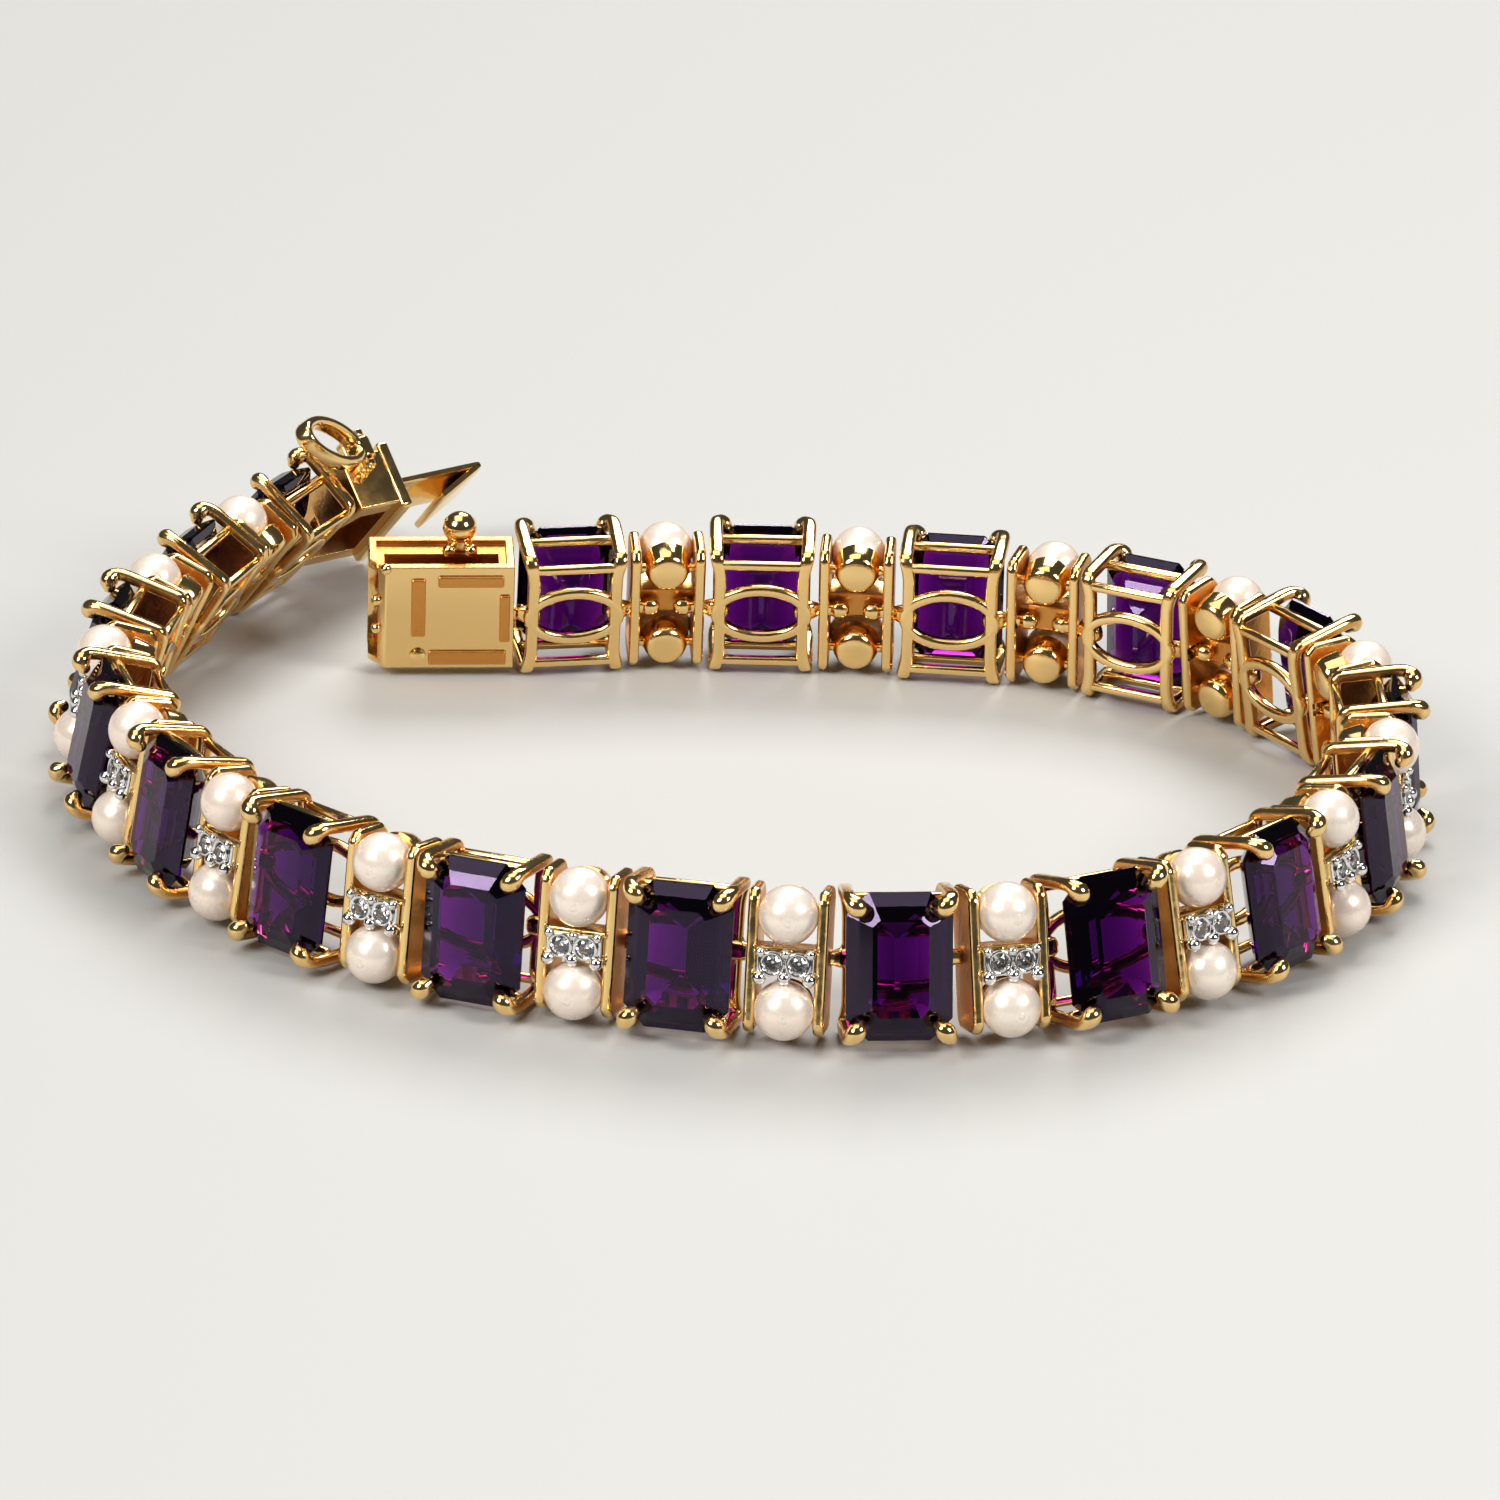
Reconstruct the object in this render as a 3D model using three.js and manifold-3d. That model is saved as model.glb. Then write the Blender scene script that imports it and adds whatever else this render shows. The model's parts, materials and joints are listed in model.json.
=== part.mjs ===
// Gemstone bracelet, standing open on its edge.
//
// Eighteen step-cut amethysts in four-claw settings alternate with seventeen
// narrow links, each holding two pearls and a small white-metal cluster. A box
// clasp ends the row at one side, and a folded spring tongue with a flip-over
// safety catch ends it at the other.
//
// Units are millimetres, +Z is up, and the bracelet rests on z = 0. Each link is
// modelled in its own frame: x runs along the bracelet, y points outwards from
// the wrist (0 at the link's back) and z runs up the link (0 at mid-height).

import * as THREE from "three";
import { mergeVertices } from "three/addons/utils/BufferGeometryUtils.js";
import Module from "manifold-3d";

const wasm = await Module();
wasm.setup();

// ---------------------------------------------------------------- dimensions

const AMETHYST_LINKS = 18;
const PEARL_LINKS = AMETHYST_LINKS - 1;

// The pitch is the distance between the two hinges of one link.
const AMETHYST_PITCH = 5.75;
const PEARL_PITCH = 3.95;
const HINGE_DEPTH = 0.6;

// How the row of links lies, from the clasp box round to the tongue. Heading is
// the way a link runs, anticlockwise from +X seen from above, and lean is how
// far its top tips in over the wrist, both in degrees. Links between two rows
// turn evenly from one to the next.
const COURSE = [
  { link: 0, heading: 10, lean: 12 },
  { link: 2, heading: 0, lean: 9 },
  { link: 4, heading: -6, lean: 3 },
  { link: 6, heading: -26, lean: 4 },
  { link: 8, heading: -54, lean: 11 },
  { link: 10, heading: -88, lean: 5 },
  { link: 13, heading: -119, lean: 11 },
  { link: 16, heading: -152, lean: 15 },
  { link: 19, heading: -187, lean: 13 },
  { link: 22, heading: -201, lean: 7 },
  { link: 25, heading: -232, lean: 9 },
  { link: 28, heading: -255, lean: 12 },
  { link: 30, heading: -279, lean: 17 },
  { link: 32, heading: -290, lean: 32 },
  { link: 34, heading: -295, lean: 41 },
];
const BOX_HEADING = 4;
const BOX_LEAN = 12;
const TONGUE_HEADING = -325;
const TONGUE_LEAN = 45;

// The amethyst: a 7 x 5 mm step cut. Each step is one outline of the stone, drawn
// in from the girdle by inset, at a level along the stone's own axis.
const STONE = { width: 5, height: 7, corner: 1, leastCorner: 0.12, girdleDepth: 2.9 };
const STONE_STEPS = [
  { inset: 2.3, level: -1.95 },
  { inset: 0.9, level: -1.1 },
  { inset: 0, level: 0 },
  { inset: 0, level: 0.15 },
  { inset: 1, level: 0.9 },
];

// The claw setting: two U-shaped frames joined by rails and an oval back ring.
const SETTING = { width: 5.4, height: 7.2, barWidth: 0.68, barDepth: 0.65, armHeight: 0.56, armDepth: 3.5 };
const CLAW = {
  along: 2.1, depth: 3.78, up: 3.08, overrun: 0.42, rootRadius: 0.32, tipRadius: 0.36, sink: 0.15,
};
const RAIL = { thickness: 0.4, backDepth: 0.3, galleryDepth: 2.25, up: 3.38 };
const EYE = { width: 4.7, height: 3.8, wire: 0.6, depth: 0.6 };
const LUG = { radius: 0.24, reach: 1.25, headRadius: 0.38 };

// The pearl link: two flat bands with gallery plates, cups, pearls and cluster.
const BAND = { outerAlong: 1.9, thickness: 0.5, depth: 2.9, height: 6.9, bevel: 0.45 };
const BAND_SLOT = { back: 0.12, front: 1.08, height: 0.7 };
const GALLERY = { back: 1.5, front: 2.0, inner: 1.05, outer: 3.2 };
const PEARL = { radius: 1.42, depth: 2.6, up: 2.26 };
const CUP = { back: 0.45, backRadius: 0.6, rimDepth: 2.0, rimRadius: 1.28 };
const CLUSTER = { halfWidth: 1.5, front: 3.35, halfHeight: 0.72 };

// The clasp box, measured back from the hinge it shares with the first link.
const BOX = { gap: 0.15, length: 7.4, depth: 3, height: 6.1, wall: 0.4, chamfer: 0.85, lugRoom: 2.5 };
const BOX_SLOT = { start: 0.8, end: 6.6, back: 0.7, front: 1.7 };
const PEG = { along: 4.65, depth: 2.35, post: 0.4, collar: 0.6, collarRise: 0.3, rise: 1.15, ball: 0.85 };
const RIVET = { radius: 0.26, up: 0.85 };

// The tongue, measured on from the hinge it shares with the last link.
// Above its knee the near side slants away from the last link's leaning frame.
const TONGUE = { foot: 0.3, knee: 0.6, shoulder: 1.45, body: 3.75, depth: 3.6, height: 6.4, recess: 0.25 };
const TONGUE_HOLLOW = { wall: 0.25, endWall: 0.4, ceiling: 1, slotFront: 1.5 };
const END_PLATE = { thickness: 0.6, overhang: 0.1 };
const SPRING = {
  thickness: 0.4, height: 3.8, rootDepth: 1.9, apex: 10.3, tipAlong: 6, tipDepth: 0.25, blunt: 0.12,
};

// The safety catch: an oblong loop on a pin across the tongue's upper side.
const CATCH = {
  along: 2.3, up: 3.95, depth: 3.2, loopStart: 0.37, loopEnd: 6.37, halfWidth: 1.4, wire: 0.55,
};
const KNUCKLE = { outer: 0.62, bore: 0.4, pin: 0.2, halfLength: 0.55 };
const EAR = { gap: 0.15, thickness: 0.35, halfWidth: 0.45, roundRadius: 0.48, footDepth: 1.2, root: 0.8 };
const CATCH_OPEN = 145;

// How far a cut runs past the face that it opens.
const OVERCUT = 1;

// ----------------------------------------------------------------- materials

function finish(color, roughness, metalness) {
  return new THREE.MeshStandardMaterial({ color, roughness, metalness });
}
const goldFinish = () => finish(0xe0aa4c, 0.18, 1);
const amethystFinish = () => finish(0x3a0a6e, 0.05, 0);

// -------------------------------------------------------------- solid helpers

// Turns a closed three.js geometry into a solid that can be joined and cut.
function toSolid(geometry) {
  const bare = geometry.clone();
  bare.deleteAttribute("normal");
  bare.deleteAttribute("uv");
  const merged = mergeVertices(bare, 1e-4);
  return new wasm.Manifold(new wasm.Mesh({
    numProp: 3,
    vertProperties: new Float32Array(merged.attributes.position.array),
    triVerts: new Uint32Array(merged.index.array),
  }));
}

// Turns a solid back into a three.js geometry.
function toGeometry(solid) {
  const mesh = solid.getMesh();
  const geometry = new THREE.BufferGeometry();
  geometry.setAttribute("position", new THREE.BufferAttribute(new Float32Array(mesh.vertProperties), 3));
  geometry.setIndex(new THREE.BufferAttribute(new Uint32Array(mesh.triVerts), 1));
  geometry.computeVertexNormals();
  return geometry;
}

function joined(solids) {
  return solids.reduce((whole, next) => whole.add(next));
}

// A block between two opposite corners.
function block(low, high) {
  const size = [0, 1, 2].map((axis) => high[axis] - low[axis]);
  const middle = [0, 1, 2].map((axis) => (high[axis] + low[axis]) / 2);
  const geometry = new THREE.BoxGeometry(...size);
  geometry.translate(...middle);
  return toSolid(geometry);
}

// A round bar from one point to another, tapering where the radii differ.
function bar(from, to, radius, endRadius = radius, sides = 8) {
  const start = new THREE.Vector3(...from);
  const end = new THREE.Vector3(...to);
  const run = end.clone().sub(start);
  const geometry = new THREE.CylinderGeometry(endRadius, radius, run.length(), sides);
  geometry.applyQuaternion(
    new THREE.Quaternion().setFromUnitVectors(new THREE.Vector3(0, 1, 0), run.clone().normalize()),
  );
  const middle = start.add(end).multiplyScalar(0.5);
  geometry.translate(middle.x, middle.y, middle.z);
  return toSolid(geometry);
}

function ball(centre, radius, around = 8, down = 6) {
  const geometry = new THREE.SphereGeometry(radius, around, down);
  geometry.rotateX(Math.PI / 2);
  geometry.translate(...centre);
  return toSolid(geometry);
}

// A plate cut to an outline of [x, y] points, standing from one z to another.
function plate(outline, from, to, holes = []) {
  const shape = new THREE.Shape(outline.map(([x, y]) => new THREE.Vector2(x, y)));
  for (const hole of holes) {
    shape.holes.push(new THREE.Path(hole.map(([x, y]) => new THREE.Vector2(x, y))));
  }
  const geometry = new THREE.ExtrudeGeometry(shape, { depth: to - from, bevelEnabled: false });
  geometry.translate(0, 0, from);
  return geometry;
}

// A plate whose outline is [y, z] points, running along x from one value to another.
function plateAlong(outline, from, to) {
  const geometry = plate(outline, from, to);
  geometry.applyMatrix4(new THREE.Matrix4().set(0, 0, 1, 0, 1, 0, 0, 0, 0, 1, 0, 0, 0, 0, 0, 1));
  return toSolid(geometry);
}

// A plate whose outline is [x, z] points, lying between two values of y.
function plateOutward(outline, from, to, holes = []) {
  const geometry = plate(outline, -to, -from, holes);
  geometry.rotateX(Math.PI / 2);
  return toSolid(geometry);
}

// Points round an ellipse, anticlockwise.
function ellipse(halfWidth, halfHeight, count, centreX = 0) {
  return Array.from({ length: count }, (_, step) => {
    const angle = (2 * Math.PI * (step + 0.5)) / count;
    return [centreX + halfWidth * Math.cos(angle), halfHeight * Math.sin(angle)];
  });
}

// ------------------------------------------------------------------ amethyst

// One eight-sided outline of the stone: a rectangle with its corners cut off.
// The corner cut keeps its angle and shortens as the outline is drawn in.
function stoneOutline(inset) {
  const x = STONE.width / 2 - inset;
  const z = STONE.height / 2 - inset;
  const corner = Math.max(STONE.corner - inset * (2 - Math.SQRT2), STONE.leastCorner);
  return [
    [x, z - corner], [x - corner, z], [-x + corner, z], [-x, z - corner],
    [-x, -z + corner], [-x + corner, -z], [x - corner, -z], [x, -z + corner],
  ];
}

// The stone is skinned between its outlines and closed at the culet and the table.
function stoneGeometry() {
  const points = [];
  const faces = [];
  for (const { inset, level } of STONE_STEPS) {
    for (const [x, z] of stoneOutline(inset)) {
      points.push(x, STONE.girdleDepth + level, z);
    }
  }
  const sides = 8;
  const last = STONE_STEPS.length - 1;
  for (let step = 0; step < last; step += 1) {
    for (let side = 0; side < sides; side += 1) {
      const a = step * sides + side;
      const b = step * sides + ((side + 1) % sides);
      faces.push(a, a + sides, b, b, a + sides, b + sides);
    }
  }
  for (let side = 1; side < sides - 1; side += 1) {
    faces.push(0, side, side + 1);
    faces.push(last * sides, last * sides + side + 1, last * sides + side);
  }
  const geometry = new THREE.BufferGeometry();
  geometry.setAttribute("position", new THREE.Float32BufferAttribute(points, 3));
  geometry.setIndex(faces);
  geometry.computeVertexNormals();
  return geometry;
}

// ----------------------------------------------------------- amethyst setting

// One U: a bar up the link's back with an arm at each end reaching the claws.
function settingFrame(side) {
  const top = SETTING.height / 2;
  const inner = top - SETTING.armHeight;
  const outline = [
    [0, -top], [SETTING.armDepth, -top], [SETTING.armDepth, -inner], [SETTING.barDepth, -inner],
    [SETTING.barDepth, inner], [SETTING.armDepth, inner], [SETTING.armDepth, top], [0, top],
  ];
  const outer = (side * SETTING.width) / 2;
  const innerFace = outer - side * SETTING.barWidth;
  return plateAlong(outline, Math.min(outer, innerFace), Math.max(outer, innerFace));
}

// A claw is a stub on the end of an arm, leaning over the stone's cut corner.
function claw(side, end) {
  const root = [
    side * (SETTING.width / 2 - SETTING.barWidth / 2),
    SETTING.armDepth - CLAW.sink,
    end * (SETTING.height / 2 - SETTING.armHeight / 2),
  ];
  const foot = new THREE.Vector3(...root);
  const lean = new THREE.Vector3(side * CLAW.along, CLAW.depth, end * CLAW.up).sub(foot);
  const tip = foot.addScaledVector(lean, 1 + CLAW.overrun / lean.length());
  return bar(root, tip.toArray(), CLAW.rootRadius, CLAW.tipRadius, 5);
}

function rail(depth, up) {
  const half = RAIL.thickness / 2;
  const reach = SETTING.width / 2 - SETTING.barWidth / 2;
  return block([-reach, depth - half, up - half], [reach, depth + half, up + half]);
}

// A hinge lug: a short pin out of the link's side with a round head that sits
// loosely inside the neighbouring link.
function lug(side) {
  const hinge = (side * AMETHYST_PITCH) / 2;
  const root = side * (SETTING.width / 2 - SETTING.barWidth);
  const head = hinge + side * LUG.reach;
  return bar([root, HINGE_DEPTH, 0], [head, HINGE_DEPTH, 0], LUG.radius, LUG.radius, 5)
    .add(ball([head, HINGE_DEPTH, 0], LUG.headRadius, 6, 3));
}

function settingGeometry() {
  const pieces = [];
  for (const side of [-1, 1]) {
    pieces.push(settingFrame(side));
    pieces.push(lug(side));
    pieces.push(rail(RAIL.backDepth, side * RAIL.up));
    pieces.push(rail(RAIL.galleryDepth, side * RAIL.up));
    for (const end of [-1, 1]) {
      pieces.push(claw(side, end));
    }
  }
  pieces.push(plateOutward(
    ellipse(EYE.width / 2, EYE.height / 2, 8),
    0,
    EYE.depth,
    [ellipse(EYE.width / 2 - EYE.wire, EYE.height / 2 - EYE.wire, 8)],
  ));
  return toGeometry(joined(pieces));
}

// ---------------------------------------------------------------- pearl link

function band(side) {
  const top = BAND.height / 2;
  const shoulder = top - BAND.bevel;
  const outline = [
    [0, -shoulder], [BAND.bevel, -top], [BAND.depth - BAND.bevel, -top], [BAND.depth, -shoulder],
    [BAND.depth, shoulder], [BAND.depth - BAND.bevel, top], [BAND.bevel, top], [0, shoulder],
  ];
  const outer = side * BAND.outerAlong;
  const inner = outer - side * BAND.thickness;
  return plateAlong(outline, Math.min(outer, inner), Math.max(outer, inner));
}

// The slot that a neighbour's lug passes through, cut between two values of x.
function lugSlot(low, high, front = BAND_SLOT.front) {
  return block([low, BAND_SLOT.back, -BAND_SLOT.height / 2], [high, front, BAND_SLOT.height / 2]);
}

// A pearl in its cup, turned about the pearl's axis: the cup opens from the
// link's back to a rim just behind the pearl's widest part.
function pearlInCup(end) {
  const halfway = Math.SQRT1_2 * PEARL.radius;
  const profile = [
    [0, CUP.back], [CUP.backRadius, CUP.back], [CUP.rimRadius, CUP.rimDepth], [PEARL.radius, PEARL.depth],
    [halfway, PEARL.depth + halfway], [0, PEARL.depth + PEARL.radius],
  ];
  const geometry = new THREE.LatheGeometry(profile.map(([x, y]) => new THREE.Vector2(x, y)), 9);
  geometry.translate(0, 0, end * PEARL.up);
  return toSolid(geometry);
}

function pearlLinkGeometry() {
  const innerFace = BAND.outerAlong - BAND.thickness / 2;
  const pieces = [];
  for (const side of [-1, 1]) {
    pieces.push(band(side));
    pieces.push(pearlInCup(side));
    const [low, high] = [side * GALLERY.inner, side * GALLERY.outer].sort((a, b) => a - b);
    pieces.push(block([-innerFace, GALLERY.back, low], [innerFace, GALLERY.front, high]));
  }
  pieces.push(block(
    [-CLUSTER.halfWidth, GALLERY.back, -CLUSTER.halfHeight],
    [CLUSTER.halfWidth, CLUSTER.front, CLUSTER.halfHeight],
  ));
  const reach = BAND.outerAlong + OVERCUT;
  return toGeometry(joined(pieces).subtract(lugSlot(-reach, reach)));
}

// ----------------------------------------------------------------- clasp box

// The box runs back from its hinge. Its mouth is at the far end, and a long slot
// opens its upper side.
function claspBoxGeometry() {
  const front = -BOX.gap;
  const mouth = front - BOX.length;
  const top = BOX.height / 2;
  const outline = [
    [mouth, BOX.chamfer], [mouth + BOX.chamfer, 0], [front, 0], [front, BOX.depth], [mouth, BOX.depth],
  ];
  const inside = block(
    [mouth - OVERCUT, BOX.wall, -top + BOX.wall],
    [front - BOX.wall, BOX.depth - BOX.wall, top - BOX.wall],
  );
  const slot = block(
    [mouth + BOX_SLOT.start, BOX_SLOT.back, top - 2 * BOX.wall],
    [mouth + BOX_SLOT.end, BOX_SLOT.front, top + OVERCUT],
  );
  const pegAlong = mouth + PEG.along;
  const pegTop = top + PEG.rise;
  const collarSeat = [pegAlong, PEG.depth, top - BOX.wall / 2];
  const pieces = [
    bar(collarSeat, [pegAlong, PEG.depth, top + PEG.collarRise], PEG.collar, PEG.collar, 10),
    bar(collarSeat, [pegAlong, PEG.depth, pegTop], PEG.post),
    ball([pegAlong, PEG.depth, pegTop], PEG.ball, 10, 8),
  ];
  for (const end of [-1, 1]) {
    const seat = [mouth + BOX.chamfer / 2, BOX.chamfer / 2, end * RIVET.up];
    pieces.push(ball(seat, RIVET.radius, 6, 4));
  }
  const shell = toSolid(plate(outline, -top, top))
    .subtract(inside)
    .subtract(slot)
    .subtract(lugSlot(front - BOX.lugRoom, front + OVERCUT));
  return toGeometry(joined([shell, ...pieces]));
}

// -------------------------------------------------------------------- tongue

// The V of the spring, bent from one strip: out to the apex and back inside.
function springOutline(plateFace) {
  const half = SPRING.thickness / 2;
  const innerRun = SPRING.apex - SPRING.tipAlong;
  const innerRise = SPRING.rootDepth - SPRING.tipDepth;
  const notch = (SPRING.thickness * innerRun) / innerRise;
  return [
    [plateFace, SPRING.rootDepth - half],
    [SPRING.apex - notch, SPRING.rootDepth - half],
    [SPRING.tipAlong, SPRING.tipDepth + SPRING.blunt],
    [SPRING.tipAlong + SPRING.blunt, SPRING.tipDepth - SPRING.blunt],
    [SPRING.apex, SPRING.rootDepth - SPRING.blunt],
    [SPRING.apex, SPRING.rootDepth + SPRING.blunt],
    [SPRING.apex - half, SPRING.rootDepth + half],
    [plateFace, SPRING.rootDepth + half],
  ];
}

function tongueGeometry() {
  const top = TONGUE.height / 2;
  const plateFace = TONGUE.body + END_PLATE.thickness;
  const farEnd = plateFace - END_PLATE.thickness / 2;
  const outline = [
    [TONGUE.foot, -top], [farEnd, -top], [farEnd, top], [TONGUE.shoulder, top], [TONGUE.foot, TONGUE.knee],
  ];
  const hollowTop = top - TONGUE_HOLLOW.ceiling;
  const hollowStart = TONGUE.foot + TONGUE_HOLLOW.wall;
  const hollowEnd = TONGUE.body - TONGUE_HOLLOW.endWall;
  const hollow = [
    [hollowStart, -hollowTop], [hollowEnd, -hollowTop], [hollowEnd, hollowTop],
    [TONGUE.shoulder + TONGUE_HOLLOW.wall, hollowTop], [hollowStart, TONGUE.knee],
  ];
  const body = plateOutward(outline, TONGUE.recess, TONGUE.depth - TONGUE.recess).subtract(
    plateOutward(hollow, -OVERCUT, TONGUE.depth - TONGUE_HOLLOW.ceiling),
  );
  const over = END_PLATE.overhang;
  const endPlate = block([TONGUE.body, -over, -top - over], [plateFace, TONGUE.depth + over, top + over]);
  const spring = toSolid(plate(springOutline(farEnd), -SPRING.height / 2, SPRING.height / 2));
  const pieces = [body, endPlate, spring];
  const earInner = KNUCKLE.halfLength + EAR.gap;
  const earOuter = earInner + EAR.thickness;
  pieces.push(block(
    [CATCH.along - EAR.halfWidth, EAR.footDepth, top - EAR.root],
    [CATCH.along + EAR.halfWidth, CATCH.depth + earOuter, top - TONGUE.recess / 2],
  ));
  for (const side of [-1, 1]) {
    const from = CATCH.depth + side * earInner;
    const to = CATCH.depth + side * earOuter;
    pieces.push(block(
      [CATCH.along - EAR.halfWidth, Math.min(from, to), top - EAR.root],
      [CATCH.along + EAR.halfWidth, Math.max(from, to), CATCH.up],
    ));
    pieces.push(bar([CATCH.along, from, CATCH.up], [CATCH.along, to, CATCH.up], EAR.roundRadius));
  }
  pieces.push(bar(
    [CATCH.along, CATCH.depth - earOuter, CATCH.up],
    [CATCH.along, CATCH.depth + earOuter, CATCH.up],
    KNUCKLE.pin,
  ));
  const slot = lugSlot(-OVERCUT, TONGUE.foot + 2 * TONGUE_HOLLOW.wall, TONGUE_HOLLOW.slotFront);
  return toGeometry(joined(pieces).subtract(slot));
}

// -------------------------------------------------------------- safety catch

// The catch is modelled about its hinge axis, closed: it runs out along +x.
function catchGeometry() {
  const half = CATCH.wire / 2;
  const middle = (CATCH.loopStart + CATCH.loopEnd) / 2;
  const reach = (CATCH.loopEnd - CATCH.loopStart) / 2;
  const outline = ellipse(reach, CATCH.halfWidth, 20, middle);
  const hole = ellipse(reach - CATCH.wire, CATCH.halfWidth - CATCH.wire, 16, middle);
  const loop = toSolid(plate(outline, -half, half, [hole]));
  const tube = bar([0, -KNUCKLE.halfLength, 0], [0, KNUCKLE.halfLength, 0], KNUCKLE.outer, KNUCKLE.outer, 12);
  const boreEnd = KNUCKLE.halfLength + OVERCUT;
  const bore = bar([0, -boreEnd, 0], [0, boreEnd, 0], KNUCKLE.bore, KNUCKLE.bore, 12);
  return toGeometry(loop.add(tube).subtract(bore));
}

// ------------------------------------------------------------------ assembly

// The heading and lean of one link, read between the rows of the course.
function courseAt(link) {
  const after = Math.max(1, COURSE.findIndex((row) => row.link >= link));
  const [low, high] = [COURSE[after - 1], COURSE[after]];
  const share = (link - low.link) / (high.link - low.link);
  return {
    heading: low.heading + share * (high.heading - low.heading),
    lean: low.lean + share * (high.lean - low.lean),
  };
}

// A group in a link's own frame. The hinge line passes over point (x, y) of the
// ground, and shift is where along that line the frame's x = 0 lies.
function placedGroup(point, shift, heading, lean) {
  const turn = THREE.MathUtils.degToRad(heading);
  const tip = THREE.MathUtils.degToRad(lean);
  const group = new THREE.Group();
  group.rotation.set(tip, 0, turn, "ZXY");
  const along = new THREE.Vector3(Math.cos(turn), Math.sin(turn), 0);
  const level = Math.cos(tip);
  const outward = new THREE.Vector3(-Math.sin(turn) * level, Math.cos(turn) * level, Math.sin(tip));
  const hingeUp = (SETTING.height / 2) * level + HINGE_DEPTH * Math.sin(tip);
  group.position.set(point.x, point.y, hingeUp);
  group.position.addScaledVector(along, shift);
  group.position.addScaledVector(outward, -HINGE_DEPTH);
  return group;
}

function namedMesh(name, geometry, material) {
  const mesh = new THREE.Mesh(geometry, material);
  mesh.name = name;
  return mesh;
}

const twoDigits = (number) => String(number).padStart(2, "0");

const bracelet = new THREE.Group();
const setting = settingGeometry();
const stone = stoneGeometry();
const pearlLink = pearlLinkGeometry();
const hinge = new THREE.Vector2(0, 0);

const boxGroup = placedGroup(hinge, 0, BOX_HEADING, BOX_LEAN);
boxGroup.add(namedMesh("clasp_box", claspBoxGeometry(), goldFinish()));
bracelet.add(boxGroup);

for (let link = 0; link < AMETHYST_LINKS + PEARL_LINKS; link += 1) {
  const isAmethyst = link % 2 === 0;
  const pitch = isAmethyst ? AMETHYST_PITCH : PEARL_PITCH;
  const { heading, lean } = courseAt(link);
  const group = placedGroup(hinge, pitch / 2, heading, lean);
  const number = twoDigits(Math.floor(link / 2) + 1);
  if (isAmethyst) {
    group.add(namedMesh(`amethyst_setting_${number}`, setting, goldFinish()));
    group.add(namedMesh(`amethyst_${number}`, stone, amethystFinish()));
  } else {
    group.add(namedMesh(`pearl_link_${number}`, pearlLink, goldFinish()));
  }
  bracelet.add(group);
  const turn = THREE.MathUtils.degToRad(heading);
  hinge.x += pitch * Math.cos(turn);
  hinge.y += pitch * Math.sin(turn);
}

const tongueGroup = placedGroup(hinge, 0, TONGUE_HEADING, TONGUE_LEAN);
tongueGroup.add(namedMesh("clasp_tongue", tongueGeometry(), goldFinish()));
const safetyCatch = namedMesh("safety_catch", catchGeometry(), goldFinish());
safetyCatch.position.set(CATCH.along, CATCH.depth, CATCH.up);
safetyCatch.rotation.y = -THREE.MathUtils.degToRad(CATCH_OPEN);
tongueGroup.add(safetyCatch);
bracelet.add(tongueGroup);

// The origin is the middle of the bracelet's outline, on the surface it stands on.
bracelet.updateMatrixWorld(true);
const extent = new THREE.Box3().setFromObject(bracelet, true);
bracelet.position.set(
  -(extent.min.x + extent.max.x) / 2,
  -(extent.min.y + extent.max.y) / 2,
  -extent.min.z,
);
bracelet.updateMatrixWorld(true);

export default bracelet;
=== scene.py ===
# %% [markdown]
# # A gemstone bracelet, standing open on its edge
#
# Eighteen step-cut amethysts in claw settings take turns with seventeen narrow
# pearl links. A box clasp ends the row on one side, and a folded spring tongue
# with a flip-over safety catch ends it on the other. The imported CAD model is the
# frame: it says where every link sits and how it leans. This lesson makes the
# fine surfaces that go on that frame, first one link of each kind and then the
# whole row of them.

# %% Load the frame
import json
import math

import bmesh
import bpy
import numpy as np
from mathutils import Matrix, Quaternion, Vector


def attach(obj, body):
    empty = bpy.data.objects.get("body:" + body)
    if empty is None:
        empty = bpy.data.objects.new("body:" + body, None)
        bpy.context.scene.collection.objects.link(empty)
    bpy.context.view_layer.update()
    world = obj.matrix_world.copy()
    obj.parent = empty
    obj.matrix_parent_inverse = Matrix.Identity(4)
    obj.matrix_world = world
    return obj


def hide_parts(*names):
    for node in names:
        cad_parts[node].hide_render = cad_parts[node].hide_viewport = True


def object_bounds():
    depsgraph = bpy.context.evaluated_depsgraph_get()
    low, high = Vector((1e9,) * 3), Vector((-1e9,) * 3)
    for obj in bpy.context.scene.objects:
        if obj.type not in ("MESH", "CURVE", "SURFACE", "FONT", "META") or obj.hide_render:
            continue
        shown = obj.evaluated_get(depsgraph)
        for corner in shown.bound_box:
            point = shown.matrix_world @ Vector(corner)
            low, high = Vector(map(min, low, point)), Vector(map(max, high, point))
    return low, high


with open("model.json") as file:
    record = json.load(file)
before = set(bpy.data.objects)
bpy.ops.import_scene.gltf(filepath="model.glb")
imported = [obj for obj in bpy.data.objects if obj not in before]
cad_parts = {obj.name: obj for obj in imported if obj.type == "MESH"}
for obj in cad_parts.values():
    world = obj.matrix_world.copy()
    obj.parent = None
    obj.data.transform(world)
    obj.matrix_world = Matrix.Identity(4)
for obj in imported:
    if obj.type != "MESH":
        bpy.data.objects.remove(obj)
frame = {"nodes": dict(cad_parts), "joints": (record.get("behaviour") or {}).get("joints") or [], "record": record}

cad_low, cad_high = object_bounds()
nodes = frame["nodes"]
print(f"{len(nodes)} CAD nodes, {(cad_high - cad_low) * 1000} mm over all")

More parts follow.
